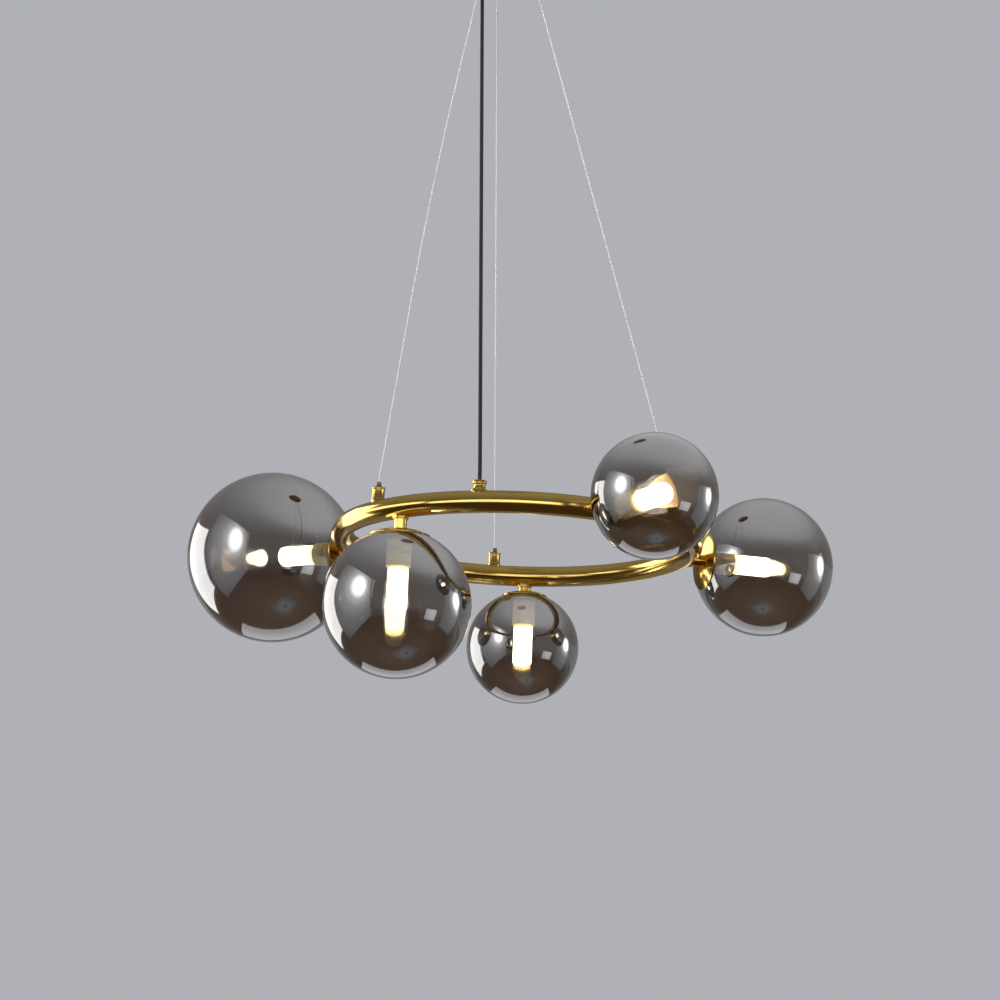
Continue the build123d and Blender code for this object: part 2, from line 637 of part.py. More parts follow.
def gripper_plunger(name):
    """The nickel plunger: pressed down, it frees the wire."""
    bore = WIRE_BORE_DIAMETER / 2
    nose = PLUNGER_DIAMETER / 2
    collar = PLUNGER_COLLAR_DIAMETER / 2
    collar_top = gripper_levels()[1] - GAP
    outline = [
        (bore, collar_top - PLUNGER_COLLAR_HEIGHT),
        (collar, collar_top - PLUNGER_COLLAR_HEIGHT),
        (collar, collar_top),
        (nose, collar_top),
        (nose, PLUNGER_TOP - PLUNGER_EDGE),
        (nose - PLUNGER_EDGE, PLUNGER_TOP),
        (bore, PLUNGER_TOP),
    ]
    return upright(WIRE_RING_BEARINGS[name]) * turned(outline)


def gripper_spring(name):
    """The plunger's return spring, as the sleeve that its turns fill."""
    floor, roof = gripper_levels()[:2]
    high = roof - GAP - PLUNGER_COLLAR_HEIGHT - GAP
    outside = PLUNGER_COLLAR_DIAMETER
    sleeve = rod(outside, floor, high) - rod(outside - 2 * SPRING_WALL, floor - CUT_MARGIN, high + CUT_MARGIN)
    return upright(WIRE_RING_BEARINGS[name]) * sleeve


def harness_place():
    """Where the loom lies in the tube: inward of and below the centreline, on the bore's floor."""
    lay = radians(HARNESS_LAY_ANGLE)
    offset = TUBE_BORE_RADIUS - HARNESS_DIAMETER / 2 - GAP
    return -offset * cos(lay), -offset * sin(lay)


def ring_wiring():
    """The loom: a loop through the ring, and a lead up each lamp's stem."""
    inward, down = harness_place()
    loom = Pos(*RING_CENTRE) * Pos(0, 0, down) * Torus(RING_RADIUS + inward, HARNESS_DIAMETER / 2)
    entry = SPIGOT_START - LAMP_LEAD_DROP
    for name, bearing in LAMP_BEARINGS.items():
        tip = holder_start(name) + STEM_THREAD_LENGTH + GAP
        start = ring_point(bearing, down, inward)
        if name in HANGING_LAMPS:
            corner, end = ring_point(bearing, -entry), ring_point(bearing, -tip)
        else:
            corner, end = ring_point(bearing, 0, entry), ring_point(bearing, 0, tip)
        lead = FilletPolyline(start, corner, end, radius=LAMP_LEAD_BEND_RADIUS)
        loom += tube_along(lead, LAMP_LEAD_DIAMETER)
    return loom


# ---- lamps ----


def stem(name):
    """A lamp's stem: a flange cut to the tube, a neck through the cap and a thread into the holder."""
    holder_top = holder_start(name)
    flange_top = TUBE_RADIUS + STEM_FLANGE_THICKNESS
    flange = STEM_FLANGE_DIAMETER / 2
    neck = STEM_DIAMETER / 2
    thread = STEM_SPIGOT_DIAMETER / 2
    outline = [
        (0, FOOT_START),
        (flange, FOOT_START),
        (flange, flange_top - STEM_FLANGE_EDGE),
        (flange - STEM_FLANGE_EDGE, flange_top),
        (neck, flange_top),
        (neck, holder_top),
        (thread, holder_top),
        (thread, holder_top + STEM_THREAD_LENGTH),
        (0, holder_top + STEM_THREAD_LENGTH),
    ]
    return saddled(lamp_frame(name), LAMP_BEARINGS[name], outline, STEM_SPIGOT_DIAMETER, STEM_BORE_DIAMETER)


def on_sphere(centre, radius, across):
    """The height of a sphere's near side at a radius across its axis."""
    return centre - sqrt(radius**2 - across**2)


def sphere_arc(centre, radius, start, end):
    """The near side of a sphere's outline, between two radii across its axis."""
    middle = (start + end) / 2
    places = [(across, 0, on_sphere(centre, radius, across)) for across in (start, middle, end)]
    return ThreePointArc(*places)


def globe(name):
    """The blown globe: an even wall, and a round mouth towards the ring."""
    outer = GLOBE_DIAMETERS[name] / 2
    centre = globe_start(name) + outer
    mouth = GLOBE_MOUTH_DIAMETER / 2
    inner = outer - GLOBE_WALL
    mouth_outer = (mouth, 0, on_sphere(centre, outer, mouth))
    mouth_inner = (mouth, 0, on_sphere(centre, inner, mouth))
    far_outer = (0, 0, centre + outer)
    far_inner = (0, 0, centre + inner)
    outline = ThreePointArc(mouth_outer, (outer, 0, centre), far_outer)
    outline += Line(far_outer, far_inner)
    outline += ThreePointArc(far_inner, (inner, 0, centre), mouth_inner)
    outline += Line(mouth_inner, mouth_outer)
    return lamp_frame(name) * revolve(make_face(outline), Axis.Z)


def globe_cap(name):
    """The brass cap glued to the globe: a dish over the mouth and a collar that screws on the holder."""
    cap = CAP_RADII[name]
    centre = globe_start(name) + GLOBE_DIAMETERS[name] / 2
    inside = GLOBE_DIAMETERS[name] / 2 + GLUE_GAP
    outside = inside + CAP_WALL
    hole = STEM_DIAMETER / 2 + GAP
    bore = HOLDER_DIAMETER / 2 + RUNNING_FIT
    collar = bore + CAP_COLLAR_WALL
    plate = holder_start(name) - GAP
    collar_end = globe_start(name) + CAP_COLLAR_LENGTH
    places = [
        (cap, on_sphere(centre, outside, cap)),
        (cap, on_sphere(centre, inside, cap)),
        (collar, on_sphere(centre, inside, collar)),
        (collar, collar_end),
        (bore, collar_end),
        (bore, plate),
        (hole, plate),
        (hole, on_sphere(centre, outside, hole)),
    ]
    corners = [(radius, 0, height) for radius, height in places]
    outline = sphere_arc(centre, outside, hole, cap)
    outline += Line(corners[0], corners[1])
    outline += sphere_arc(centre, inside, cap, collar)
    outline += Polyline(*corners[2:])
    return lamp_frame(name) * revolve(make_face(outline), Axis.Z)


def lampholder(name):
    """The ceramic lampholder: tapped for the stem, grooved outside, recessed for the bulb's base."""
    holder_top = holder_start(name)
    end = holder_top + HOLDER_LENGTH
    body = rod(HOLDER_DIAMETER, holder_top, end)
    body = chamfer(body.edges().group_by(Axis.Z)[-1], HOLDER_EDGE)
    for turn in range(HOLDER_GROOVES):
        low = end - HOLDER_RECESS_DEPTH - turn * HOLDER_GROOVE_PITCH
        high = low + HOLDER_GROOVE_WIDTH
        band = rod(HOLDER_DIAMETER + 2 * CUT_MARGIN, low, high)
        body -= band - rod(HOLDER_DIAMETER - 2 * HOLDER_GROOVE, low - CUT_MARGIN, high + CUT_MARGIN)
    thread_end = holder_top + STEM_THREAD_LENGTH + LEAD_ROOM
    body -= rod(STEM_SPIGOT_DIAMETER + 2 * THREAD_FIT, holder_top - CUT_MARGIN, thread_end)
    recess = end - HOLDER_RECESS_DEPTH
    body -= rod(BULB_BASE_DIAMETER + 2 * GAP, recess, end + CUT_MARGIN)
    slot = rod(PIN_DIAMETER + 2 * GAP, recess - PIN_LENGTH - PIN_ROOM, recess + CUT_MARGIN)
    for side in (-1, 1):
        body -= Pos(side * PIN_SPACING / 2, 0, 0) * slot
    return lamp_frame(name) * body


def bulb_base(name):
    """The bulb's base, seated in the holder, with its two pins."""
    end = holder_start(name) + HOLDER_LENGTH
    seat = end - HOLDER_RECESS_DEPTH + GAP
    body = rod(BULB_BASE_DIAMETER, seat, end)
    body += rod(BULB_DIAMETER - 2 * BULB_WALL - 2 * GLUE_GAP, end, end + BULB_BASE_PLUG)
    for side in (-1, 1):
        body += Pos(side * PIN_SPACING / 2, 0, 0) * rod(PIN_DIAMETER, seat - PIN_LENGTH, seat)
    return lamp_frame(name) * body


def bulb_cover(name):
    """The bulb's frosted cover, open towards its base."""
    low = holder_start(name) + HOLDER_LENGTH + GAP
    high = low + BULB_VISIBLE_LENGTH
    shell = rod(BULB_DIAMETER, low, high)
    shell = fillet(shell.edges().sort_by(Axis.Z)[-1], BULB_END_RADIUS)
    hollow = rod(BULB_DIAMETER - 2 * BULB_WALL, low - CUT_MARGIN, high - BULB_WALL)
    hollow = fillet(hollow.edges().sort_by(Axis.Z)[-1], BULB_END_RADIUS - BULB_WALL)
    return lamp_frame(name) * (shell - hollow)


# ---- every node ----

PARTS = {
    "canopy_cup": canopy_cup(),
    "ceiling_bracket": ceiling_bracket(),
    "cup_screws": cup_screws(),
    "earth_screw": earth_screw(),
    "terminal_block": terminal_block(),
    "terminal_screws": terminal_screws(),
    "block_screw": block_screw(),
    "supply_cores": supply_cores(),
    "cord_gland": cord_gland(),
    "gland_nut": gland_nut(),
    "wire_nipples": wire_nipples(),
    "wire_nipple_nuts": wire_nipple_nuts(),
    "wire_stops": wire_stops(),
    "power_cord": hung_tube("power_cord", cord_route(), CORD_DIAMETER),
    "ring_tube": ring_tube(),
    "ring_wiring": ring_wiring(),
    "cord_inlet": cord_inlet(),
}
for wire in WIRE_RING_BEARINGS:
    PARTS[f"suspension_wire_{wire}"] = hung_tube(f"suspension_wire_{wire}", wire_route(wire), WIRE_DIAMETER)
    PARTS[f"gripper_body_{wire}"] = gripper_body(wire)
    PARTS[f"gripper_plunger_{wire}"] = gripper_plunger(wire)
    PARTS[f"gripper_spring_{wire}"] = gripper_spring(wire)
for lamp in LAMP_BEARINGS:
    PARTS[f"stem_{lamp}"] = stem(lamp)
    PARTS[f"lampholder_{lamp}"] = lampholder(lamp)
    PARTS[f"bulb_base_{lamp}"] = bulb_base(lamp)
    PARTS[f"bulb_cover_{lamp}"] = bulb_cover(lamp)
    PARTS[f"globe_cap_{lamp}"] = globe_cap(lamp)
    PARTS[f"globe_{lamp}"] = globe(lamp)

os.makedirs("parts", exist_ok=True)
for node, shape in PARTS.items():
    export_step(shape, f"parts/{node}.step")
print(len(PARTS), "nodes")
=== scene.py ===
# %% [markdown]
# # An orb chandelier in brass and mirrored smoke glass
# A brass tube, bent to a ring, hangs on three thin steel wires and carries five blown globes.
# Each globe hides a ceramic lampholder with a lit capsule bulb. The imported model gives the
# places, so this file only builds finer pieces in the same places and gives them finishes.

from math import asin, atan, cos, pi, radians, sin, tau

import bmesh
import bpy
from mathutils import Matrix, Vector


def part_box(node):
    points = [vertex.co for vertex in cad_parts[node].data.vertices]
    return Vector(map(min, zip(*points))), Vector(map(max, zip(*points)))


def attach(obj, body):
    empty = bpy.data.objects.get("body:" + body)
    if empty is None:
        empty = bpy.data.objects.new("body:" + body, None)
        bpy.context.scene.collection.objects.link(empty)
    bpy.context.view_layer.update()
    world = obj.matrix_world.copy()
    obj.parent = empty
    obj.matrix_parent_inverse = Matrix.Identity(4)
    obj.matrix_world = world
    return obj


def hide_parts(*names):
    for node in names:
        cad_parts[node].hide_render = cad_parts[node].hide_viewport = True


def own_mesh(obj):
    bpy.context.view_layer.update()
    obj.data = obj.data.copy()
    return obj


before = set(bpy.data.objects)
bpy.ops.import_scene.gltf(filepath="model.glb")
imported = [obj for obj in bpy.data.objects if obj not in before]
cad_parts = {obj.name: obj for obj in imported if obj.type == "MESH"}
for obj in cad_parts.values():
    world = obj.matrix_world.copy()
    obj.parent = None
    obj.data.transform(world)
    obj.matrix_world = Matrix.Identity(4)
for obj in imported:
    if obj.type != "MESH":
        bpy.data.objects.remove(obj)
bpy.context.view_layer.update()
MM = 0.001

# %% [markdown]
# ## Camera
# The picture was taken from a little below the ring, looking up at it with a long lens, so that
# near and far globes keep almost their true sizes. A small lens angle and a far camera give the
# same flat look. The camera is aimed in three turns: at the ring's centre, then off it by two
# small angles, and at last tipped sideways.

# %% Camera
RING_CENTRE = Vector((30.5, -10.0, -558.0)) * MM
CAMERA_DISTANCE = 2.317
CAMERA_RISE = radians(12.13)
LENS_PIXELS = 2743.0
ROLL = radians(2.22)
centre_in_picture = (518.3, 540.8)

yaw = atan((centre_in_picture[0] - 500) / LENS_PIXELS)
pitch = atan((centre_in_picture[1] - 500) / LENS_PIXELS)
ahead = Vector((0, cos(CAMERA_RISE), sin(CAMERA_RISE)))
side = Vector((1, 0, 0))
above = side.cross(ahead)
ahead, side = ahead * cos(yaw) - side * sin(yaw), side * cos(yaw) + ahead * sin(yaw)
ahead, above = ahead * cos(pitch) + above * sin(pitch), above * cos(pitch) - ahead * sin(pitch)
side, above = side * cos(ROLL) + above * sin(ROLL), above * cos(ROLL) - side * sin(ROLL)
eye = RING_CENTRE - Vector((0, cos(CAMERA_RISE), sin(CAMERA_RISE))) * CAMERA_DISTANCE

camera = bpy.data.objects.new("camera", bpy.data.cameras.new("camera"))
bpy.context.scene.collection.objects.link(camera)
camera.data.sensor_width = 36.0
camera.data.lens = 36.0 * LENS_PIXELS / 1000
camera.data.clip_start = 0.05
camera.data.clip_end = 60.0
camera.matrix_world = Matrix.Translation(eye) @ Matrix((side, above, -ahead)).transposed().to_4x4()
bpy.context.scene.camera = camera
print("camera at", [round(v, 3) for v in eye], "lens", round(camera.data.lens, 2))

# %% [markdown]
# ## Wires and power cord
# Three steel wires carry the ring, and a thin black cord feeds it. Each runs straight and taut
# from a fitting on the ring to its outlet in the ceiling cup. A tube could be drawn round a
# polyline, but real wire never turns a sharp corner, so each is a smooth NURBS line through a
# few points, and a mesh tube follows the points that are read back from that line.

# %% Read a smooth line back from its control points
def smooth_line(name, points, fineness=48):
    """Points along a NURBS line with these control points, which are in millimetres."""
    line = bpy.data.curves.new(name, "CURVE")
    line.dimensions = "3D"
    spline = line.splines.new("NURBS")
    spline.points.add(len(points) - 1)
    for control, place in zip(spline.points, points):
        control.co = (*(Vector(place) * MM), 1)
    spline.order_u = 3
    spline.use_endpoint_u = True
    spline.resolution_u = fineness
    holder = bpy.data.objects.new(name, line)
    bpy.context.scene.collection.objects.link(holder)
    bpy.context.view_layer.update()
    mesh = bpy.data.meshes.new_from_object(holder.evaluated_get(bpy.context.evaluated_depsgraph_get()))
    found = [vertex.co.copy() for vertex in mesh.vertices]
    bpy.data.objects.remove(holder)
    bpy.data.curves.remove(line)
    bpy.data.meshes.remove(mesh)
    return found


# %% Draw a round tube along a line
def tube_mesh(name, path, diameter, around=12):
    """A closed tube round the path, with a UV map: once round, and metres along."""
    steps = [(after - before).normalized() for before, after in zip(path, path[1:])]
    headings = [steps[0]] + [(a + b).normalized() for a, b in zip(steps, steps[1:])] + [steps[-1]]
    across = headings[0].orthogonal().normalized()
    bm = bmesh.new()
    rows, travelled, marks = [], 0.0, []
    for number, (place, heading) in enumerate(zip(path, headings)):
        across = (across - heading * across.dot(heading)).normalized()
        beside = heading.cross(across)
        if number:
            travelled += (place - path[number - 1]).length
        marks.append(travelled)
        spokes = [across * cos(tau * i / around) + beside * sin(tau * i / around) for i in range(around)]
        rows.append([bm.verts.new(place + spoke * diameter / 2) for spoke in spokes])
    uv = bm.loops.layers.uv.new("along")
    for row in range(len(rows) - 1):
        for i in range(around):
            j = (i + 1) % around
            face = bm.faces.new((rows[row][i], rows[row][j], rows[row + 1][j], rows[row + 1][i]))
            corners = ((i, row), (i + 1, row), (i + 1, row + 1), (i, row + 1))
            for loop, (turn, along) in zip(face.loops, corners):
                loop[uv].uv = (turn / around, marks[along])
    bm.faces.new(list(reversed(rows[0])))
    bm.faces.new(rows[-1])
    bmesh.ops.recalc_face_normals(bm, faces=bm.faces)
    mesh = bpy.data.meshes.new(name)
    bm.to_mesh(mesh)
    bm.free()
    mesh.shade_smooth()
    mesh.set_sharp_from_angle(angle=radians(50))
    return mesh


# %% Hang the cord and the wires
WIRE = {"diameter": 0.0012, "fixed_end": -0.0166, "keep": 0.5317, "stiffness": "stiff"}
HANGING_LINES = {
    "power_cord": {
        "points": [
            (-0.78, -154.66, -558.0),
            (-0.78, -154.66, -536.2),
            (-1.56, -148.12, -515.4),
            (-18.8, -6.55, -61.7),
            (-19.6, 0.0, -40.8),
            (-19.6, 0.0, -19.8),
        ],
        "length": 0.5618,
        "diameter": 0.0032,
        "fixed_end": -0.0198,
        "keep": 0.5355,
        "stiffness": "medium",
    },
    "suspension_wire_a": {
        "points": [
            (-83.37, -104.54, -550.4),
            (-83.37, -104.54, -532.0),
            (-81.35, -101.35, -514.0),
            (-53.27, -56.46, -258.98),
            (-19.8, -20.3, -54.5),
            (-16.82, -17.12, -35.6),
            (-16.82, -17.12, -16.6),
        ],
        "length": 0.5458,
        **WIRE,
    },
    "suspension_wire_b": {
        "points": [
            (10.93, 136.70, -550.4),
            (10.93, 136.70, -532.0),
            (10.3, 132.62, -514.1),
            (-5.77, 27.28, -53.9),
            (-6.41, 23.13, -35.6),
            (-6.41, 23.13, -16.6),
        ],
        "length": 0.5468,
        **WIRE,
    },
    "suspension_wire_c": {
        "points": [
            (159.06, -83.33, -550.4),
            (159.06, -83.33, -532.0),
            (154.32, -80.63, -514.7),
            (28.1, -8.78, -53.3),
            (23.24, -6.01, -35.6),
            (23.24, -6.01, -16.6),
        ],
        "length": 0.5576,
        **WIRE,
    },
}


def put_in_scene(name, mesh, body):
    """An object at the origin for a finished mesh, which then rides on a body of the frame."""
    piece = bpy.data.objects.new(name, mesh)
    bpy.context.scene.collection.objects.link(piece)
    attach(piece, body)
    return piece


for line_name, line in HANGING_LINES.items():
    path = smooth_line(line_name, line["points"])
    mesh = tube_mesh(line_name + "_tube", path, line["diameter"], 16 if line_name == "power_cord" else 10)
    hung = put_in_scene(line_name + "_hung", mesh, "ceiling")
    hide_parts(line_name)
    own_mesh(hung)
    run = sum((b - a).length for a, b in zip(path, path[1:]))
    print(line_name, "line", round(run * 1000, 1), "mm over", len(path), "points")

# %% [markdown]
# ## Sizes that the pieces share
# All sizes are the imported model's own, in millimetres. Each lamp has a bearing round the ring,
# a globe diameter, the open length of its stem and the radius of its cap. Two lamps hang down
# from the tube and three stand straight out from it.

# %% Ring and lamp sizes
RING_RADIUS = 148.0
TUBE_RADIUS = 9.0
CAP_WALL = 1.0
GLUE_GAP = 0.1
GAP = 0.3
GLOBE_WALL = 2.0
MOUTH_RADIUS = 12.5
HOLDER_LENGTH = 29.0
HOLDER_RADIUS = 10.0
LAMPS = {
    "left": {"bearing": 153.5, "globe": 150.0, "stem": 7.0, "cap": 25.0, "hangs": False},
    "front_left": {"bearing": 230.6, "globe": 120.0, "stem": 9.2, "cap": 25.0, "hangs": True},
    "rear": {"bearing": 86.6, "globe": 100.0, "stem": 4.8, "cap": 20.0, "hangs": True},
    "front_right": {"bearing": 299.5, "globe": 100.0, "stem": 7.0, "cap": 20.0, "hangs": False},
    "right": {"bearing": 17.4, "globe": 120.0, "stem": 7.0, "cap": 25.0, "hangs": False},
}
GRIPPER_BEARINGS = {"a": 219.7, "b": 97.6, "c": 330.3}
INLET_BEARING = 257.8


def place_at(origin, along, across):
    """A placing matrix in metres: local Z goes along, and local X goes across."""
    turn = Matrix((across, along.cross(across), along)).transposed().to_4x4()
    return Matrix.Translation(origin) @ turn


def on_ring(bearing):
    """Where the tube's centreline is at a bearing, and the outward direction there."""
    outward = Vector((cos(radians(bearing)), sin(radians(bearing)), 0))
    return RING_CENTRE + outward * RING_RADIUS * MM, outward


def upright(bearing):
    """The place of a fitting that stands on top of the tube."""
    return place_at(on_ring(bearing)[0], Vector((0, 0, 1)), Vector((1, 0, 0)))


def lamp_place(name):
    """A lamp's place: origin on the tube's centreline, local Z out along the lamp."""
    origin, outward = on_ring(LAMPS[name]["bearing"])
    across = Vector((-outward.y, outward.x, 0))
    return place_at(origin, Vector((0, 0, -1)) if LAMPS[name]["hangs"] else outward, across)


def lamp_heights(name):
    """Distances from the tube's centreline to the globe's crown and to the holder."""
    globe_crown = TUBE_RADIUS + LAMPS[name]["stem"] + CAP_WALL + GLUE_GAP
    return globe_crown, globe_crown + GLUE_GAP + GAP + CAP_WALL


print("lamps:", {name: [round(h, 1) for h in lamp_heights(name)] for name in LAMPS})

# %% [markdown]
# ## Turned pieces
# Nearly every fitting here comes off a lathe, so one helper does for all of them: it takes half
# of the section as points of radius and height, turns it about the axis and closes it. A real
# edge is never quite sharp, and a tiny round is what catches the light, so the section's corners
# are eased before it is turned.

# %% Ease the corners of a section
def eased(outline, reach=0.35, steps=4):
    """The closed outline with each real corner off the axis replaced by a small round."""
    points = [Vector(p) for p in outline]
    out = []
    for before, corner, after in zip(points[-1:] + points[:-1], points, points[1:] + points[:1]):
        run_in, run_out = before - corner, after - corner
        turn = pi - run_in.angle(run_out, 0.0)
        if corner.x < 1e-6 or turn < radians(14):
            out.append(corner)
            continue
        start = corner + run_in.normalized() * min(reach, run_in.length * 0.45)
        end = corner + run_out.normalized() * min(reach, run_out.length * 0.45)
        for step in range(steps + 1):
            share = step / steps
            out.append(start * (1 - share) ** 2 + corner * 2 * share * (1 - share) + end * share**2)
    return out


# %% Turn a section on its axis
def turned_mesh(name, outline, place, around=96, sharp=40):
    """A closed solid turned from (radius, height) points in millimetres and put in its place."""
    bm = bmesh.new()
    rows = []
    for radius, height in outline:
        count = around if radius > 1e-6 else 1
        reach = radius * MM
        spokes = [(cos(tau * i / around), sin(tau * i / around)) for i in range(count)]
        rows.append([bm.verts.new((reach * x, reach * y, height * MM)) for x, y in spokes])
    heights = [height for radius, height in outline]
    low, span = min(heights), max(heights) - min(heights)
    uv = bm.loops.layers.uv.new("turned")
    for row, next_row in zip(range(len(rows)), [*range(1, len(rows)), 0]):
        for i in range(around):
            corners = [(row, i), (row, i + 1), (next_row, i + 1), (next_row, i)]
            spots, used = [], []
            for r, turn in corners:
                vertex = rows[r][turn % len(rows[r])]
                if vertex not in used:
                    used.append(vertex)
                    spots.append((turn / around, (heights[r] - low) / span))
            if len(used) > 2:
                face = bm.faces.new(used)
                for loop, spot in zip(face.loops, spots):
                    loop[uv].uv = spot
    bmesh.ops.recalc_face_normals(bm, faces=bm.faces)
    mesh = bpy.data.meshes.new(name)
    bm.to_mesh(mesh)
    bm.free()
    mesh.transform(place)
    mesh.shade_smooth()
    mesh.set_sharp_from_angle(angle=radians(sharp))
    return mesh


# %% [markdown]
# ## Finishes: what the materials share
# Polished metal, glazed ceramic and glass all carry the same small faults: a haze of fingerprints
# and fine waviness from making. One node group makes both from noise on the piece's own
# coordinates. Each material then sets how large and how strong they are.

# %% Add a node
def add(tree, kind, inputs, **settings):
    """A new node with its settings; an input is linked where it is given a socket, else set."""
    node = tree.nodes.new(kind)
    for label, value in settings.items():
        setattr(node, label, value)
    for label, value in inputs.items():
        if isinstance(value, bpy.types.NodeSocket):
            tree.links.new(value, node.inputs[label])
        else:
            node.inputs[label].default_value = value
    return node


# %% Shader group: handling marks and waviness
def build_surface_group():
    """Node group: a smudge mask, a fine scratch mask and a height, all from object coordinates."""
    tree = bpy.data.node_groups.new("handled_surface", "ShaderNodeTree")
    face = tree.interface
    sizes = {"Smudge Scale": 60.0, "Fine Scale": 900.0, "Wave Scale": 25.0, "Wave Share": 0.5}
    for label, value in sizes.items():
        face.new_socket(label, in_out="INPUT", socket_type="NodeSocketFloat").default_value = value
    for label in ("Smudges", "Fine", "Height"):
        face.new_socket(label, in_out="OUTPUT", socket_type="NodeSocketFloat")
    enter = tree.nodes.new("NodeGroupInput")
    leave = tree.nodes.new("NodeGroupOutput")
    coordinates = tree.nodes.new("ShaderNodeTexCoord")

    def noise(scale_from, detail):
        sockets = {"Vector": coordinates.outputs["Object"], "Scale": enter.outputs[scale_from]}
        return add(tree, "ShaderNodeTexNoise", {**sockets, "Detail": detail}).outputs["Fac"]

    smudge_noise = noise("Smudge Scale", 5.0)
    smudges = add(tree, "ShaderNodeMapRange", {"Value": smudge_noise, "From Min": 0.42, "From Max": 0.75})
    fine = noise("Fine Scale", 3.0)
    wave = noise("Wave Scale", 1.0)
    height = add(tree, "ShaderNodeMix", {"Factor": enter.outputs["Wave Share"], "A": fine, "B": wave})
    tree.links.new(smudges.outputs["Result"], leave.inputs["Smudges"])
    tree.links.new(fine, leave.inputs["Fine"])
    tree.links.new(height.outputs["Result"], leave.inputs["Height"])
    return tree


SURFACE = build_surface_group()
print("group", SURFACE.name, "sockets", [socket.name for socket in SURFACE.interface.items_tree])


# %% Small helpers to wire a material
def start_material(name):
    """A new node material: its node tree and its Principled shader."""
    material = bpy.data.materials.new(name)
    material.use_nodes = True
    return material, material.node_tree, material.node_tree.nodes["Principled BSDF"]


def blend_colours(tree, mask, first, second):
    """A colour that goes from first to second as the mask goes from 0 to 1."""
    sockets = {"Factor": mask, "A": (*first, 1), "B": (*second, 1)}
    return add(tree, "ShaderNodeMix", sockets, data_type="RGBA").outputs["Result"]


def span(tree, mask, low, high, mask_low=0.0, mask_high=1.0):
    """A value that goes from low to high as the mask goes over its range."""
    limits = {"From Min": mask_low, "From Max": mask_high, "To Min": low, "To Max": high}
    return add(tree, "ShaderNodeMapRange", {"Value": mask, **limits}).outputs["Result"]


def bumped(tree, height, distance):
    """A bump node's normal for a height that changes over the surface."""
    sockets = {"Strength": 1.0, "Distance": distance, "Height": height}
    return add(tree, "ShaderNodeBump", sockets).outputs["Normal"]


def math_node(tree, operation, *operands):
    """A maths node's value; each operand is a socket or a number."""
    return add(tree, "ShaderNodeMath", dict(enumerate(operands)), operation=operation).outputs["Value"]


def split_uv(tree, layer):
    """The U and V of a UV map, as X and Y of a split vector."""
    spot = add(tree, "ShaderNodeUVMap", {}, uv_map=layer)
    return add(tree, "ShaderNodeSeparateXYZ", {"Vector": spot.outputs["UV"]}).outputs


def fill_ramp(ramp, stops):
    """Colour stops put into a ramp that starts with two."""
    elements = ramp.color_ramp.elements
    for place, (position, colour) in enumerate(stops):
        element = elements[place] if place < 2 else elements.new(1.0)
        element.position = position
        element.color = (*colour, 1)


def handled(tree, **sizes):
    """The shared surface group in this material, with its own sizes."""
    node = tree.nodes.new("ShaderNodeGroup")
    node.node_tree = SURFACE
    for label, value in sizes.items():
        node.inputs[label.replace("_", " ").title()].default_value = value
    return node.outputs


# %% [markdown]
# ## Metals
# The tube and its fittings are brass, polished and lacquered. The grippers' plungers are dark
# nickel and the hidden hardware is zinc-plated steel. A metal's colour is in its reflections,
# so each is a metallic shader with a slightly uneven colour, and its smudges make it duller.

# %% Metal finishes
def metal(name, colour, worn, smooth, dull, depth, **sizes):
    """A metal whose colour and roughness vary with handling marks, and with a fine grain."""
    material, tree, shader = start_material(name)
    marks = handled(tree, **sizes)
    shader.inputs["Metallic"].default_value = 1.0
    tree.links.new(blend_colours(tree, marks["Smudges"], colour, worn), shader.inputs["Base Color"])
    tree.links.new(span(tree, marks["Smudges"], smooth, dull), shader.inputs["Roughness"])
    tree.links.new(bumped(tree, marks["Height"], depth), shader.inputs["Normal"])
    return material


POLISHED_BRASS = metal(
    "polished_brass", (0.88, 0.62, 0.19), (0.80, 0.545, 0.15), 0.13, 0.19, 0.00002,
    smudge_scale=45.0, fine_scale=1500.0, wave_scale=40.0, wave_share=0.75,
)
CUP_BRASS = metal(
    "spun_brass", (0.87, 0.61, 0.24), (0.78, 0.53, 0.19), 0.17, 0.26, 0.00003,
    smudge_scale=40.0, fine_scale=1200.0, wave_scale=30.0, wave_share=0.6,
)
DARK_NICKEL = metal(
    "dark_nickel", (0.34, 0.32, 0.30), (0.22, 0.20, 0.185), 0.22, 0.34, 0.00002,
    smudge_scale=300.0, fine_scale=2500.0, wave_share=0.3,
)
ZINC_STEEL = metal(
    "zinc_steel", (0.62, 0.62, 0.60), (0.48, 0.475, 0.45), 0.30, 0.46, 0.00004,
    smudge_scale=120.0, fine_scale=1400.0, wave_share=0.3,
)
BRASS_SCREW = metal(
    "screw_brass", (0.84, 0.62, 0.27), (0.70, 0.48, 0.18), 0.20, 0.34, 0.00003,
    smudge_scale=260.0, fine_scale=2200.0, wave_share=0.3,
)
print("metals made")

# %% [markdown]
# ## Wire and cord
# The suspension wire is twisted from fine bright strands, and the power cord has a plain black
# braid. Both patterns have to follow the line, so they read the tube's own UV map: U goes once
# round, and V counts metres along. A sine of the two together gives strands that spiral.

# %% Twisted and braided finishes
def ridges(tree, across, along):
    """A wave of ridges that spirals: so many round the line, and so many to the metre."""
    spot = split_uv(tree, "along")
    turned = math_node(tree, "MULTIPLY", spot["X"], across * tau)
    advanced = math_node(tree, "MULTIPLY", spot["Y"], along * tau)
    wave = math_node(tree, "SINE", math_node(tree, "ADD", turned, advanced))
    return span(tree, wave, 0.0, 1.0, -1.0, 1.0)


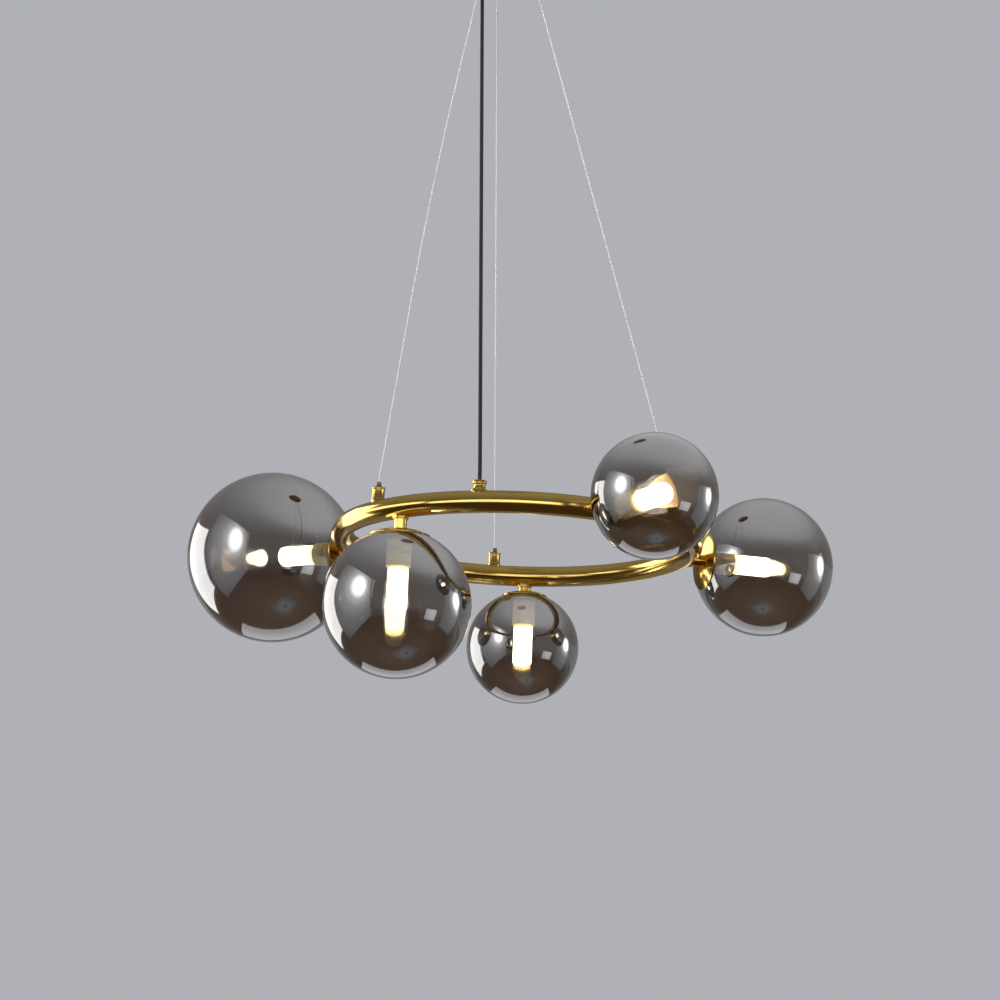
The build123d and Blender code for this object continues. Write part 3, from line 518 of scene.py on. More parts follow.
def steel_wire():
    """Bright stranded steel: light crowns, and painted shade that darkens the valleys between the strands.
    """
    material, tree, shader = start_material("stranded_steel_wire")
    strands = ridges(tree, 6, 170)
    # The colour is painted darker in the valleys between strands, as shade.
    colour = blend_colours(tree, strands, (0.80, 0.81, 0.83), (0.97, 0.97, 0.98))
    shader.inputs["Metallic"].default_value = 0.1
    tree.links.new(colour, shader.inputs["Base Color"])
    tree.links.new(span(tree, strands, 0.5, 0.32), shader.inputs["Roughness"])
    tree.links.new(bumped(tree, strands, 0.00008), shader.inputs["Normal"])
    return material


def black_braid():
    """A black textile braid: two sets of ridges that cross, with painted shade in the valleys between
    them, and a soft sheen.
    """
    material, tree, shader = start_material("black_braided_cord")
    weave = math_node(tree, "MAXIMUM", ridges(tree, 8, 620), ridges(tree, 8, -620))
    # The colour is painted darker in the weave's valleys, as shade.
    colour = blend_colours(tree, weave, (0.006, 0.006, 0.007), (0.020, 0.020, 0.022))
    tree.links.new(colour, shader.inputs["Base Color"])
    tree.links.new(span(tree, weave, 0.75, 0.5), shader.inputs["Roughness"])
    tree.links.new(bumped(tree, weave, 0.00015), shader.inputs["Normal"])
    shader.inputs["Sheen Weight"].default_value = 0.15
    return material


STEEL_WIRE = steel_wire()
BLACK_BRAID = black_braid()
for line_name in HANGING_LINES:
    finish = BLACK_BRAID if line_name == "power_cord" else STEEL_WIRE
    bpy.data.objects[line_name + "_hung"].data.materials.append(finish)

# %% [markdown]
# ## Mirrored smoke glass
# The globes are clear glass with a very thin smoky metal film, which makes them half mirror and
# half window: they show the studio, and the lit bulb shines through. A part of metal in a
# transmitting shader does that, and the smoke is in the colour. Blown glass is never quite true,
# so a faint wave bends its reflections.

# %% Glass finish
def smoke_glass():
    """Half mirror and half window, with a smoky tint and a faint wave from blowing."""
    material, tree, shader = start_material("mirrored_smoke_glass")
    marks = handled(tree, smudge_scale=18.0, fine_scale=300.0, wave_scale=22.0, wave_share=1.0)
    shader.inputs["Metallic"].default_value = 0.40
    shader.inputs["Transmission Weight"].default_value = 1.0
    shader.inputs["IOR"].default_value = 1.5
    shader.inputs["Roughness"].default_value = 0.0
    tint = blend_colours(tree, marks["Smudges"], (0.50, 0.488, 0.48), (0.475, 0.463, 0.455))
    tree.links.new(tint, shader.inputs["Base Color"])
    tree.links.new(bumped(tree, marks["Height"], 0.0006), shader.inputs["Normal"])
    return material


SMOKE_GLASS = smoke_glass()

# %% [markdown]
# ## Ceramic, bulbs and the hidden insulation
# The lampholders are unglazed cream ceramic. Each bulb has a frosted cover that glows from
# inside: almost white over most of its length and amber near its base, where no chip sits. The
# cover's UV map runs from base to tip, so a ramp on V gives that glow. The holder is given a
# faint painted glow as well, strongest at the bulb's end, standing in for the bulb's light on it.

# %% Ceramic, plastic and glowing finishes
def plain_body(name, colour, shade, smooth, dull, depth, **sizes):
    """A ceramic or plastic body whose colour and gloss are a little uneven."""
    material, tree, shader = start_material(name)
    marks = handled(tree, **sizes)
    tree.links.new(blend_colours(tree, marks["Smudges"], colour, shade), shader.inputs["Base Color"])
    tree.links.new(span(tree, marks["Smudges"], smooth, dull), shader.inputs["Roughness"])
    tree.links.new(bumped(tree, marks["Height"], depth), shader.inputs["Normal"])
    return material


def glow_along(tree, shader, strength, stops):
    """Light given off along a turned piece: a ramp on V, which runs from the foot to the tip."""
    ramp = tree.nodes.new("ShaderNodeValToRGB")
    fill_ramp(ramp, stops)
    tree.links.new(split_uv(tree, "turned")["Y"], ramp.inputs["Fac"])
    tree.links.new(ramp.outputs["Color"], shader.inputs["Emission Color"])
    shader.inputs["Emission Strength"].default_value = strength
    return ramp.outputs["Color"]


def glowing_cover():
    """The frosted cover of a lit bulb, amber at its base and warm white above."""
    material, tree, shader = start_material("glowing_bulb_cover")
    stops = [(0.0, (0.42, 0.22, 0.05)), (0.12, (0.95, 0.72, 0.32)), (0.30, (1.0, 0.93, 0.76))]
    tree.links.new(glow_along(tree, shader, 30.0, stops), shader.inputs["Base Color"])
    marks = handled(tree, smudge_scale=200.0, fine_scale=2000.0, wave_share=0.2)
    tree.links.new(span(tree, marks["Fine"], 0.35, 0.5), shader.inputs["Roughness"])
    return material


CERAMIC = plain_body(
    "cream_ceramic", (0.80, 0.74, 0.60), (0.72, 0.65, 0.50), 0.42, 0.6, 0.00005,
    smudge_scale=160.0, fine_scale=1800.0, wave_share=0.3,
)
ceramic_tree = CERAMIC.node_tree
# Painted light: a faint emission on the ceramic holder, brightest at the bulb's end, in place of the
# bulb's light falling on it.
glow_along(
    ceramic_tree, ceramic_tree.nodes["Principled BSDF"], 0.9,
    [(0.0, (0.22, 0.19, 0.13)), (0.6, (0.42, 0.36, 0.23)), (1.0, (1.0, 0.82, 0.42))],
)
BULB_BASE = plain_body(
    "bulb_base_white", (0.78, 0.75, 0.66), (0.70, 0.66, 0.56), 0.35, 0.5, 0.00003,
    smudge_scale=260.0, fine_scale=1800.0, wave_share=0.3,
)
BLOCK_PLASTIC = plain_body(
    "terminal_block_nylon", (0.78, 0.78, 0.74), (0.70, 0.70, 0.65), 0.40, 0.55, 0.00003,
    smudge_scale=180.0, fine_scale=1600.0, wave_share=0.3,
)
CORE_PLASTIC = plain_body(
    "core_insulation", (0.10, 0.085, 0.07), (0.07, 0.06, 0.05), 0.42, 0.58, 0.00003,
    smudge_scale=300.0, fine_scale=1600.0, wave_share=0.3,
)
BULB_GLOW = glowing_cover()
print("finishes:", len(bpy.data.materials))


# %% Finish a piece and tie it to the frame
def fit(name, mesh, finish, body, nodes):
    """A finished piece: its mesh gets the finish, rides on the body and stands for the nodes."""
    mesh.materials.clear()
    mesh.materials.append(finish)
    piece = put_in_scene(name, mesh, body)
    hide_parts(*nodes)
    return piece


# %% [markdown]
# ## The ring
# The ring is one length of 18 mm brass tube bent to a circle and closed with a hidden joint. A
# torus could be typed in, but a circle drawn along a circle says how it is made, and Geometry
# Nodes keep both sizes as named inputs. The result is turned into a plain mesh.

# %% Run a Geometry Nodes tree and keep its mesh
def grown_mesh(name, tree, values):
    """The mesh that a tree makes with these values for its named inputs."""
    holder = bpy.data.objects.new(name + "_grower", bpy.data.meshes.new(name + "_seed"))
    bpy.context.scene.collection.objects.link(holder)
    modifier = holder.modifiers.new("grow", "NODES")
    modifier.node_group = tree
    for item in tree.interface.items_tree:
        if item.in_out == "INPUT" and item.name in values:
            modifier[item.identifier] = values[item.name]
    bpy.context.view_layer.update()
    evaluated = holder.evaluated_get(bpy.context.evaluated_depsgraph_get())
    mesh = bpy.data.meshes.new_from_object(evaluated)
    mesh.name = name
    holder.modifiers.clear()
    bpy.data.objects.remove(holder)
    return mesh


def new_tree(name, sizes):
    """An empty Geometry Nodes tree with named inputs and one geometry output."""
    tree = bpy.data.node_groups.new(name, "GeometryNodeTree")
    tree.interface.new_socket("Geometry", in_out="OUTPUT", socket_type="NodeSocketGeometry")
    for label, value in sizes.items():
        kind = "NodeSocketInt" if isinstance(value, int) else "NodeSocketFloat"
        tree.interface.new_socket(label, in_out="INPUT", socket_type=kind).default_value = value
    return tree, tree.nodes.new("NodeGroupInput"), tree.nodes.new("NodeGroupOutput")


def end_tree(tree, geometry, leave, finish):
    """Realize Instances and Set Material, as the last two nodes of a tree."""
    realize = add(tree, "GeometryNodeRealizeInstances", {"Geometry": geometry})
    painted = {"Geometry": realize.outputs["Geometry"], "Material": finish}
    paint = add(tree, "GeometryNodeSetMaterial", painted)
    tree.links.new(paint.outputs["Geometry"], leave.inputs["Geometry"])


# %% Bend the tube
def bent_tube_tree():
    """A circle of tube: the section is drawn along the centreline."""
    sizes = {"Ring Radius": 0.148, "Tube Radius": 0.009, "Stations": 360, "Facets": 64}
    tree, enter, leave = new_tree("bent_tube", sizes)
    size, circle = enter.outputs, "GeometryNodeCurvePrimitiveCircle"
    centreline = add(tree, circle, {"Radius": size["Ring Radius"], "Resolution": size["Stations"]})
    section = add(tree, circle, {"Radius": size["Tube Radius"], "Resolution": size["Facets"]})
    curves = {"Curve": centreline.outputs["Curve"], "Profile Curve": section.outputs["Curve"]}
    draw = add(tree, "GeometryNodeCurveToMesh", curves)
    smooth = add(tree, "GeometryNodeSetShadeSmooth", {"Geometry": draw.outputs["Mesh"]})
    end_tree(tree, smooth.outputs["Geometry"], leave, POLISHED_BRASS)
    return tree


def faces_outward(mesh):
    """The mesh with its faces turned to point outwards."""
    bm = bmesh.new()
    bm.from_mesh(mesh)
    bmesh.ops.recalc_face_normals(bm, faces=bm.faces)
    bm.to_mesh(mesh)
    bm.free()
    return mesh


ring_sizes = {"Ring Radius": RING_RADIUS * MM, "Tube Radius": TUBE_RADIUS * MM}
ring_mesh = grown_mesh("ring_bent_tube", bent_tube_tree(), ring_sizes)
faces_outward(ring_mesh).transform(Matrix.Translation(RING_CENTRE))
fit("ring_tube_polished", ring_mesh, POLISHED_BRASS, "ring", ["ring_tube"])
print("ring faces", len(ring_mesh.polygons))

# %% [markdown]
# ## Cord inlet and wire grippers
# The cord enters the ring through a small waisted collar. Each wire runs through a gripper: a
# turned brass body with a spring-loaded dark plunger on top, which frees the wire when it is
# pressed. Their feet are cut to the tube on the real lamp, so here each foot runs a little way
# into the tube and shows the same curved line.

# %% Cord inlet
inlet_outline = [
    (2.2, 4.5), (7.0, 4.5), (7.0, 9.0), (5.2, 9.9), (4.8, 10.9),
    (4.8, 13.4), (5.2, 14.0), (5.8, 14.4), (5.8, 16.5), (5.3, 17.0), (2.2, 17.0),
]
inlet = turned_mesh("cord_inlet_turned", eased(inlet_outline, 0.3), upright(INLET_BEARING), 72)
fit("cord_inlet_turned", inlet, POLISHED_BRASS, "ring", ["cord_inlet"])

# %% Wire grippers
body_outline = [
    (2.7, 4.5), (5.7, 4.5), (5.7, 10.0), (5.2, 10.6), (5.2, 18.0),
    (5.7, 18.6), (5.7, 19.6), (5.3, 20.0), (2.7, 20.0),
]
plunger_outline = [
    (1.3, 15.8), (3.2, 15.8), (3.2, 17.3), (2.4, 17.3), (2.4, 22.0),
    (2.0, 22.4), (2.2, 22.9), (2.2, 23.9), (1.9, 24.4), (1.3, 24.4),
]
for letter, bearing in GRIPPER_BEARINGS.items():
    stand = upright(bearing)
    body = turned_mesh(f"gripper_body_{letter}_turned", eased(body_outline, 0.25), stand, 72)
    fit(f"gripper_body_{letter}_turned", body, POLISHED_BRASS, "ring", [f"gripper_body_{letter}"])
    plunger = turned_mesh(f"gripper_plunger_{letter}_turned", eased(plunger_outline, 0.2), stand, 48)
    fit(
        f"gripper_plunger_{letter}_turned", plunger, DARK_NICKEL, f"plunger_{letter}",
        [f"gripper_plunger_{letter}"],
    )
print("grippers at", GRIPPER_BEARINGS)

# %% [markdown]
# ## Return springs
# Inside each gripper a small coil spring pushes the plunger up. A coil follows a rule, so a
# spiral from Geometry Nodes makes it.

# %% Wind the springs
def coil_tree():
    """A coil of round wire: a spiral centreline with a small circle drawn along it."""
    sizes = {"Coil Radius": 0.0028, "Wire Radius": 0.0003, "Height": 0.0027, "Turns": 4.0}
    tree, enter, leave = new_tree("coil_spring", sizes)
    size = enter.outputs
    radii = {"Start Radius": size["Coil Radius"], "End Radius": size["Coil Radius"]}
    rise = {"Height": size["Height"], "Rotations": size["Turns"], "Resolution": 24}
    spiral = add(tree, "GeometryNodeCurveSpiral", {**radii, **rise})
    wire = {"Radius": size["Wire Radius"], "Resolution": 8}
    section = add(tree, "GeometryNodeCurvePrimitiveCircle", wire)
    curves = {"Curve": spiral.outputs["Curve"], "Profile Curve": section.outputs["Curve"]}
    draw = add(tree, "GeometryNodeCurveToMesh", {**curves, "Fill Caps": True})
    end_tree(tree, draw.outputs["Mesh"], leave, ZINC_STEEL)
    return tree


COIL_WIRE_RADIUS = 0.0003
SPRING_TREE = coil_tree()
for letter, bearing in GRIPPER_BEARINGS.items():
    low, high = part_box(f"gripper_spring_{letter}")
    rise = high.z - low.z - 2 * COIL_WIRE_RADIUS
    coil = grown_mesh(f"gripper_spring_{letter}_coil", SPRING_TREE, {"Height": rise})
    foot = (low + high) / 2
    faces_outward(coil).transform(Matrix.Translation((foot.x, foot.y, low.z + COIL_WIRE_RADIUS)))
    node = f"gripper_spring_{letter}"
    spring = fit(f"gripper_spring_{letter}_coil", coil, ZINC_STEEL, "ring", [node])
    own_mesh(spring)
print("springs wound, each", round((high.z - low.z) * 1000, 2), "mm high")

# %% [markdown]
# ## Lamps
# Every lamp is the same stack at its own size: a stem from the tube, a thin cap glued over the
# globe's mouth, the lampholder that the stem screws into, and the bulb. The cap has the globe's
# own curve, so both are drawn from one helper that walks along an arc about the globe's centre.

# %% Arcs about a globe's centre
def arc(centre, radius, start, end, steps):
    """Points of radius and height on a sphere's section, from one polar angle to another."""
    angles = [start + (end - start) * step / steps for step in range(steps + 1)]
    return [(radius * sin(a), centre - radius * cos(a)) for a in angles]


# %% Stems
for name in LAMPS:
    holder = lamp_heights(name)[1]
    stem_outline = [
        (3.2, 4.5), (6.5, 4.5), (6.5, 9.9), (6.1, 10.3), (5.2, 10.3), (5.2, holder),
        (4.0, holder), (4.0, holder + 5.0), (3.2, holder + 5.0),
    ]
    stem = turned_mesh(f"stem_{name}_turned", eased(stem_outline, 0.25), lamp_place(name), 72)
    fit(f"stem_{name}_turned", stem, POLISHED_BRASS, "ring", [f"stem_{name}"])

# %% Caps
COLLAR_BORE, COLLAR_SIDE, COLLAR_LENGTH = 10.08, 11.98, 9.0
STEM_HOLE = 5.5
for name, lamp in LAMPS.items():
    globe_crown, holder = lamp_heights(name)
    inside = lamp["globe"] / 2 + GLUE_GAP
    outside = inside + CAP_WALL
    centre, cap_radius = globe_crown + lamp["globe"] / 2, lamp["cap"]
    collar_end, plate = globe_crown + COLLAR_LENGTH, holder - GAP
    cap_outline = arc(centre, outside, asin(STEM_HOLE / outside), asin(cap_radius / outside), 16)
    cap_outline += arc(centre, inside, asin(cap_radius / inside), asin(COLLAR_SIDE / inside), 10)
    cap_outline += [(COLLAR_SIDE, collar_end), (COLLAR_BORE, collar_end)]
    cap_outline += [(COLLAR_BORE, plate), (STEM_HOLE, plate)]
    cap = turned_mesh(f"globe_cap_{name}_spun", eased(cap_outline, 0.3), lamp_place(name), 96, 30)
    fit(f"globe_cap_{name}_spun", cap, POLISHED_BRASS, f"globe_{name}", [f"globe_cap_{name}"])

# %% [markdown]
# ### Lampholders
# The holder is a ceramic cylinder with moulded ribs round it and a recess for the bulb's base.
# The ribs are the detail that shows through the glass between cap and bulb, so the section gets
# soft grooves instead of a plain side.

# %% Lampholders
def holder_section(foot, end):
    """The holder's section: a plain neck, four soft ribs and a recessed end."""
    side, groove = HOLDER_RADIUS, 9.35
    section = [(4.1, foot), (side, foot), (side, foot + 9.0)]
    for rib in range(4):
        low = foot + 9.4 + rib * 3.6
        section += [(groove, low), (groove, low + 0.8), (side, low + 1.3), (side, low + 3.1)]
    section += [(side, end - 0.8), (side - 0.8, end)]
    return section + [(8.2, end), (8.2, end - 7.0), (4.1, end - 7.0)]


for name in LAMPS:
    foot = lamp_heights(name)[1]
    section = eased(holder_section(foot, foot + HOLDER_LENGTH), 0.3, 3)
    body = turned_mesh(f"lampholder_{name}_ribbed", section, lamp_place(name), 72)
    fit(f"lampholder_{name}_ribbed", body, CERAMIC, "ring", [f"lampholder_{name}"])

# %% [markdown]
# ### Bulbs
# Each bulb is a slim capsule with a flat-ended frosted cover over its chips, on a white base
# with two pins. Only the cover glows.

# %% Bulb bases and covers
COVER_RADIUS, COVER_LENGTH, COVER_ROUND = 8.3, 35.0, 3.5
for name in LAMPS:
    low = lamp_heights(name)[1] + HOLDER_LENGTH + GAP
    high = low + COVER_LENGTH
    cover_outline = [(7.3, low), (COVER_RADIUS, low), (COVER_RADIUS, high - COVER_ROUND)]
    for turn in [pi / 16 * i for i in range(1, 9)]:
        radius = COVER_RADIUS - COVER_ROUND * (1 - cos(turn))
        cover_outline.append((radius, high - COVER_ROUND + COVER_ROUND * sin(turn)))
    cover_outline += [(0, high), (0, high - 1.0), (4.8, high - 1.0), (6.6, high - 1.8)]
    cover_outline.append((7.3, high - COVER_ROUND))
    cover = turned_mesh(f"bulb_cover_{name}_frosted", cover_outline, lamp_place(name), 64)
    node = f"bulb_cover_{name}"
    fit(f"bulb_cover_{name}_frosted", cover, BULB_GLOW, f"bulb_{name}", [node])

# %% [markdown]
# ### Globes
# A globe is one closed skin: the outside, the inside 2 mm below it, and the ground rim of the
# mouth that joins them. Light bends at both faces, so the wall has to be there. Many facets keep
# the mirror images clean.

# %% Globes
for name, lamp in LAMPS.items():
    outer = lamp["globe"] / 2
    inner = outer - GLOBE_WALL
    centre = lamp_heights(name)[0] + outer
    globe_outline = arc(centre, outer, pi, asin(MOUTH_RADIUS / outer), 88)
    globe_outline += arc(centre, inner, asin(MOUTH_RADIUS / inner), pi, 88)
    globe_outline = [(0.0 if radius < 1e-6 else radius, height) for radius, height in globe_outline]
    globe = turned_mesh(f"globe_{name}_blown", globe_outline, lamp_place(name), 176, 60)
    fit(f"globe_{name}_blown", globe, SMOKE_GLASS, f"globe_{name}", [f"globe_{name}"])
print("globe facets", len(globe.polygons))

# %% [markdown]
# ## Ceiling cup
# The cup is spun from brass sheet and hides the bracket and the terminal block. Under it sit the
# cord's gland and three coned nipples for the wires, and two knurled thumb screws at its sides
# hold it to the bracket.

# %% Cup, gland and nipples
ceiling = Matrix.Identity(4)
corner_turns = [pi / 20 * i for i in range(1, 10)]
cup_outline = [(60.0, 0.0), (60.0, -24.0)]
cup_outline += [(56.0 + 4.0 * cos(t), -24.0 - 4.0 * sin(t)) for t in corner_turns]
cup_outline += [(56.0, -28.0), (0.0, -28.0), (0.0, -26.8), (56.0, -26.8)]
cup_outline += [(56.0 + 2.8 * cos(t), -24.0 - 2.8 * sin(t)) for t in reversed(corner_turns)]
cup_outline += [(58.8, -24.0), (58.8, 0.0)]
cup = turned_mesh("canopy_cup_spun", eased(cup_outline, 0.3), ceiling, 160)
fit("canopy_cup_spun", cup, CUP_BRASS, "ceiling", ["canopy_cup"])

gland_outline = [
    (2.2, -36.0), (4.0, -36.0), (5.5, -34.5), (5.5, -30.4), (7.0, -29.6),
    (7.0, -28.0), (4.0, -28.0), (4.0, -21.8), (2.2, -21.8),
]
cord_outlet = Matrix.Translation((-0.0196, 0, 0))
gland = turned_mesh("cord_gland_turned", eased(gland_outline, 0.3), cord_outlet, 72)
fit("cord_gland_turned", gland, POLISHED_BRASS, "ceiling", ["cord_gland"])

nipple_outline = [
    (1.3, -34.0), (2.5, -34.0), (4.0, -30.0), (4.0, -28.0),
    (3.0, -28.0), (3.0, -22.6), (1.3, -22.6),
]
WIRE_OUTLET_RADIUS = 0.024
nipples = bmesh.new()
for bearing in (225.5, 105.5, 345.5):
    turn = radians(bearing)
    spot = Matrix.Translation((WIRE_OUTLET_RADIUS * cos(turn), WIRE_OUTLET_RADIUS * sin(turn), 0))
    nipples.from_mesh(turned_mesh("wire_nipple", eased(nipple_outline, 0.25), spot, 48))
nipple_mesh = bpy.data.meshes.new("wire_nipples_turned")
nipples.to_mesh(nipple_mesh)
nipples.free()
fit("wire_nipples_turned", nipple_mesh, POLISHED_BRASS, "ceiling", ["wire_nipples"])

# %% [markdown]
# ### Thumb screws
# A knurl is a row of ridges round a head. Typing each is slow and a bump would not show in
# outline, so Geometry Nodes set one small ridge on every point of a circle.

# %% Knurl the thumb screws
def knurl_tree():
    """Ridges round a circle, each a small bar that lies along the screw's axis."""
    sizes = {"Radius": 0.0038, "Ridges": 32, "Ridge Size": 0.0005, "Length": 0.0034}
    tree, enter, leave = new_tree("knurl", sizes)
    size = enter.outputs
    circle = add(tree, "GeometryNodeMeshCircle", {"Vertices": size["Ridges"], "Radius": size["Radius"]})
    half = math_node(tree, "MULTIPLY", size["Ridge Size"], 0.5)
    bar = add(tree, "GeometryNodeMeshCylinder", {"Vertices": 6, "Radius": half, "Depth": size["Length"]})
    places = {"Points": circle.outputs["Mesh"], "Instance": bar.outputs["Mesh"]}
    turn = add(tree, "GeometryNodeInstanceOnPoints", places)
    end_tree(tree, turn.outputs["Instances"], leave, BRASS_SCREW)
    return tree


screw_outline = [
    (0.0, 55.4), (1.5, 55.4), (2.0, 55.9), (2.0, 60.02),
    (3.75, 60.02), (3.75, 63.9), (3.2, 64.5), (0.0, 64.5),
]
KNURL = knurl_tree()
screws = bmesh.new()
for way in (-1, 1):
    spot = place_at(Vector((0, 0, -0.008)), Vector((way, 0, 0)), Vector((0, 1, 0)))
    screws.from_mesh(turned_mesh("thumb_screw", eased(screw_outline, 0.3), spot, 48))
    ridge_mesh = grown_mesh("thumb_screw_ridges", KNURL, {"Radius": 0.00375, "Ridges": 32})
    ridge_mesh.transform(spot @ Matrix.Translation((0, 0, 0.06212)))
    screws.from_mesh(ridge_mesh)
screw_mesh = bpy.data.meshes.new("cup_screws_knurled")
screws.to_mesh(screw_mesh)
screws.free()
fit("cup_screws_knurled", screw_mesh, BRASS_SCREW, "ceiling", ["cup_screws"])
print("thumb screw facets", len(screw_mesh.polygons))

# %% [markdown]
# ## Hardware that stays as packed
# The bracket, nuts, terminal block and wiring have the right shape already. They only get their
# finishes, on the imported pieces' own material slots.

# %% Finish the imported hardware
PACKED_FINISHES = {
    "ceiling_bracket": ZINC_STEEL,
    "earth_screw": BRASS_SCREW,
    "terminal_block": BLOCK_PLASTIC,
    "terminal_screws": ZINC_STEEL,
    "block_screw": ZINC_STEEL,
    "supply_cores": CORE_PLASTIC,
    "gland_nut": BRASS_SCREW,
    "wire_nipple_nuts": BRASS_SCREW,
    "wire_stops": DARK_NICKEL,
    "ring_wiring": CORE_PLASTIC,
}
PACKED_FINISHES.update({f"bulb_base_{name}": BULB_BASE for name in LAMPS})
for node, finish in PACKED_FINISHES.items():
    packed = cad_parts[node]
    if not packed.data.materials:
        packed.data.materials.append(finish)
    for place in range(len(packed.material_slots)):
        packed.material_slots[place].material = finish
print("packed pieces finished:", len(PACKED_FINISHES))

# %% [markdown]
# ## Studio
# A mirror shows the room, so the room is part of the finish. The room here is made of cards that
# only mirror rays see, placed where the globes show them: a grey screen with a bright core at
# the left, another at the right, a brown floor with a sheet of white paper on it, and a ceiling
# that is palest above the lamp. The polished brass has a dimmer room, with one long bright strip
# in front of it and a narrower window at each side and behind. A ray from a perfect mirror is
# singular and one from slightly dull metal is not, and that tells the two apart.

# %% Backdrop and surroundings
BACKDROP = (0.434, 0.440, 0.468)
GLASS_ROOM = ((0.26, 0.225, 0.205), (0.34, 0.345, 0.36))
BRASS_ROOM = ((0.036, 0.030, 0.020), (0.26, 0.255, 0.235))


def choose_colour(tree, factor, first, second):
    """One of two colour sockets, by a factor of 0 or 1."""
    sockets = {"Factor": factor, "A": first, "B": second}
    return add(tree, "ShaderNodeMix", sockets, data_type="RGBA").outputs["Result"]


def studio_world():
    """The grey backdrop, and a room that only mirror rays see: one for glass, one for brass."""
    world = bpy.data.worlds.new("studio")
    bpy.context.scene.world = world
    world.use_nodes = True
    tree = world.node_tree
    tree.nodes.clear()
    light = tree.nodes.new("ShaderNodeLightPath").outputs
    direction = tree.nodes.new("ShaderNodeTexCoord").outputs["Generated"]
    way = add(tree, "ShaderNodeSeparateXYZ", {"Vector": direction}).outputs
    glass_room = blend_colours(tree, span(tree, way["Y"], 0.0, 1.0, -0.05, 0.35), *GLASS_ROOM)
    brass_room = blend_colours(tree, span(tree, way["Z"], 0.0, 1.0, -0.15, 1.0), *BRASS_ROOM)
    room = choose_colour(tree, light["Is Singular Ray"], brass_room, glass_room)
    backdrop = tree.nodes.new("ShaderNodeRGB")
    backdrop.outputs["Color"].default_value = (*BACKDROP, 1)
    straight = math_node(tree, "LESS_THAN", light["Glossy Depth"], 0.5)
    shown = choose_colour(tree, straight, room, backdrop.outputs["Color"])
    background = add(tree, "ShaderNodeBackground", {"Color": shown})
    add(tree, "ShaderNodeOutputWorld", {"Surface": background.outputs["Background"]})


studio_world()
bpy.context.scene.view_settings.view_transform = "Standard"


# %% Cards that only mirror rays see
def card(name, corners, centre, weights, stops, seen_in="glass"):
    """A flat glowing card; its colour goes by the weighted distance, in metres, from a centre."""
    mesh = bpy.data.meshes.new(name)
    mesh.from_pydata([Vector(c) for c in corners], [], [range(len(corners))])
    piece = bpy.data.objects.new(name, mesh)
    bpy.context.scene.collection.objects.link(piece)
    material = bpy.data.materials.new(name)
    material.use_nodes = True
    tree = material.node_tree
    tree.nodes.clear()
    place = tree.nodes.new("ShaderNodeTexCoord").outputs["Object"]
    for operation, operand in (("SUBTRACT", centre), ("MULTIPLY", weights)):
        step = add(tree, "ShaderNodeVectorMath", {0: place, 1: operand}, operation=operation)
        place = step.outputs["Vector"]
    away = add(tree, "ShaderNodeVectorMath", {0: place}, operation="LENGTH").outputs["Value"]
    reach = stops[-1][0]
    ramp = add(tree, "ShaderNodeValToRGB", {"Fac": math_node(tree, "DIVIDE", away, reach)})
    peak = max(max(colour) for metres, colour in stops)
    fill_ramp(ramp, [(metres / reach, [channel / peak for channel in colour]) for metres, colour in stops])
    glow = add(tree, "ShaderNodeEmission", {"Strength": peak, "Color": ramp.outputs["Color"]})
    light = tree.nodes.new("ShaderNodeLightPath").outputs
    mirrored = math_node(tree, "GREATER_THAN", light["Glossy Depth"], 0.5)
    if seen_in == "glass":
        mirrored = math_node(tree, "MULTIPLY", mirrored, light["Is Singular Ray"])
    elif seen_in == "brass":
        mirrored = math_node(tree, "SUBTRACT", mirrored, light["Is Singular Ray"])
    clear = tree.nodes.new("ShaderNodeBsdfTransparent").outputs["BSDF"]
    mixed = {"Fac": mirrored, 1: clear, 2: glow.outputs["Emission"]}
    choose = add(tree, "ShaderNodeMixShader", mixed)
    add(tree, "ShaderNodeOutputMaterial", {"Surface": choose.outputs["Shader"]})
    mesh.materials.append(material)
    piece.visible_camera = False
    piece.visible_diffuse = False
    piece.visible_shadow = False


def grey(level):
    """A neutral colour of this brightness."""
    return (level, level, level * 1.03)


# %% Ceiling, floor and paper
card(
    "ceiling_card", [(-3, -1.9, 0.06), (-3, 3, 0.06), (3, 3, 0.06), (3, -1.9, 0.06)],
    (0.35, -0.1, 0.06), (0.9, 1, 0),
    [
        (0, grey(0.95)), (0.35, grey(0.9)), (0.6, grey(0.72)),
        (0.85, grey(0.46)), (1.1, grey(0.33)), (1.6, (0.27, 0.24, 0.22)),
    ],
)
card(
    "brown_floor_card", [(-2.6, -9.0, -1.88), (9, -9.0, -1.88), (9, 4.5, -1.88), (-2.6, 4.5, -1.88)],
    (0.3, -0.1, 0), (1, 1, 0),
    [
        (0, (0.20, 0.125, 0.075)), (0.9, (0.14, 0.078, 0.038)), (1.9, (0.11, 0.060, 0.026)),
        (3.2, (0.15, 0.115, 0.085)), (5, (0.24, 0.21, 0.19)),
    ],
)
card(
    "dark_floor_card", [(-9, -9, -1.885), (9, -9, -1.885), (9, 3, -1.885), (-9, 3, -1.885)],
    (0, -3, 0), (0, 1, 0),
    [
        (0, (0.040, 0.026, 0.012)), (3.5, (0.045, 0.030, 0.015)),
        (3.9, (0.16, 0.15, 0.14)), (6, (0.20, 0.20, 0.20)),
    ],
    "brass",
)
card(
    "floor_mark_card",
    [(-0.18, -0.1, -1.875), (0.24, -0.52, -1.875), (0.66, -0.1, -1.875), (0.24, 0.32, -1.875)],
    (0.24, -0.1, 0), (1, 1, 0),
    [
        (0, (0.10, 0.10, 0.11)), (0.10, (0.30, 0.31, 0.32)),
        (0.24, (0.20, 0.19, 0.18)), (0.42, (0.19, 0.12, 0.075)),
    ],
)
card(
    "paper_card",
    [(-0.85, 0.98, -1.87), (1.0, 1.05, -1.87), (1.2, 4.2, -1.87), (-1.2, 4.2, -1.87)],
    (0, 1.0, 0), (0, 1, 0), [(0, grey(0.78)), (1.2, grey(1.0)), (3.2, grey(0.8))],
)

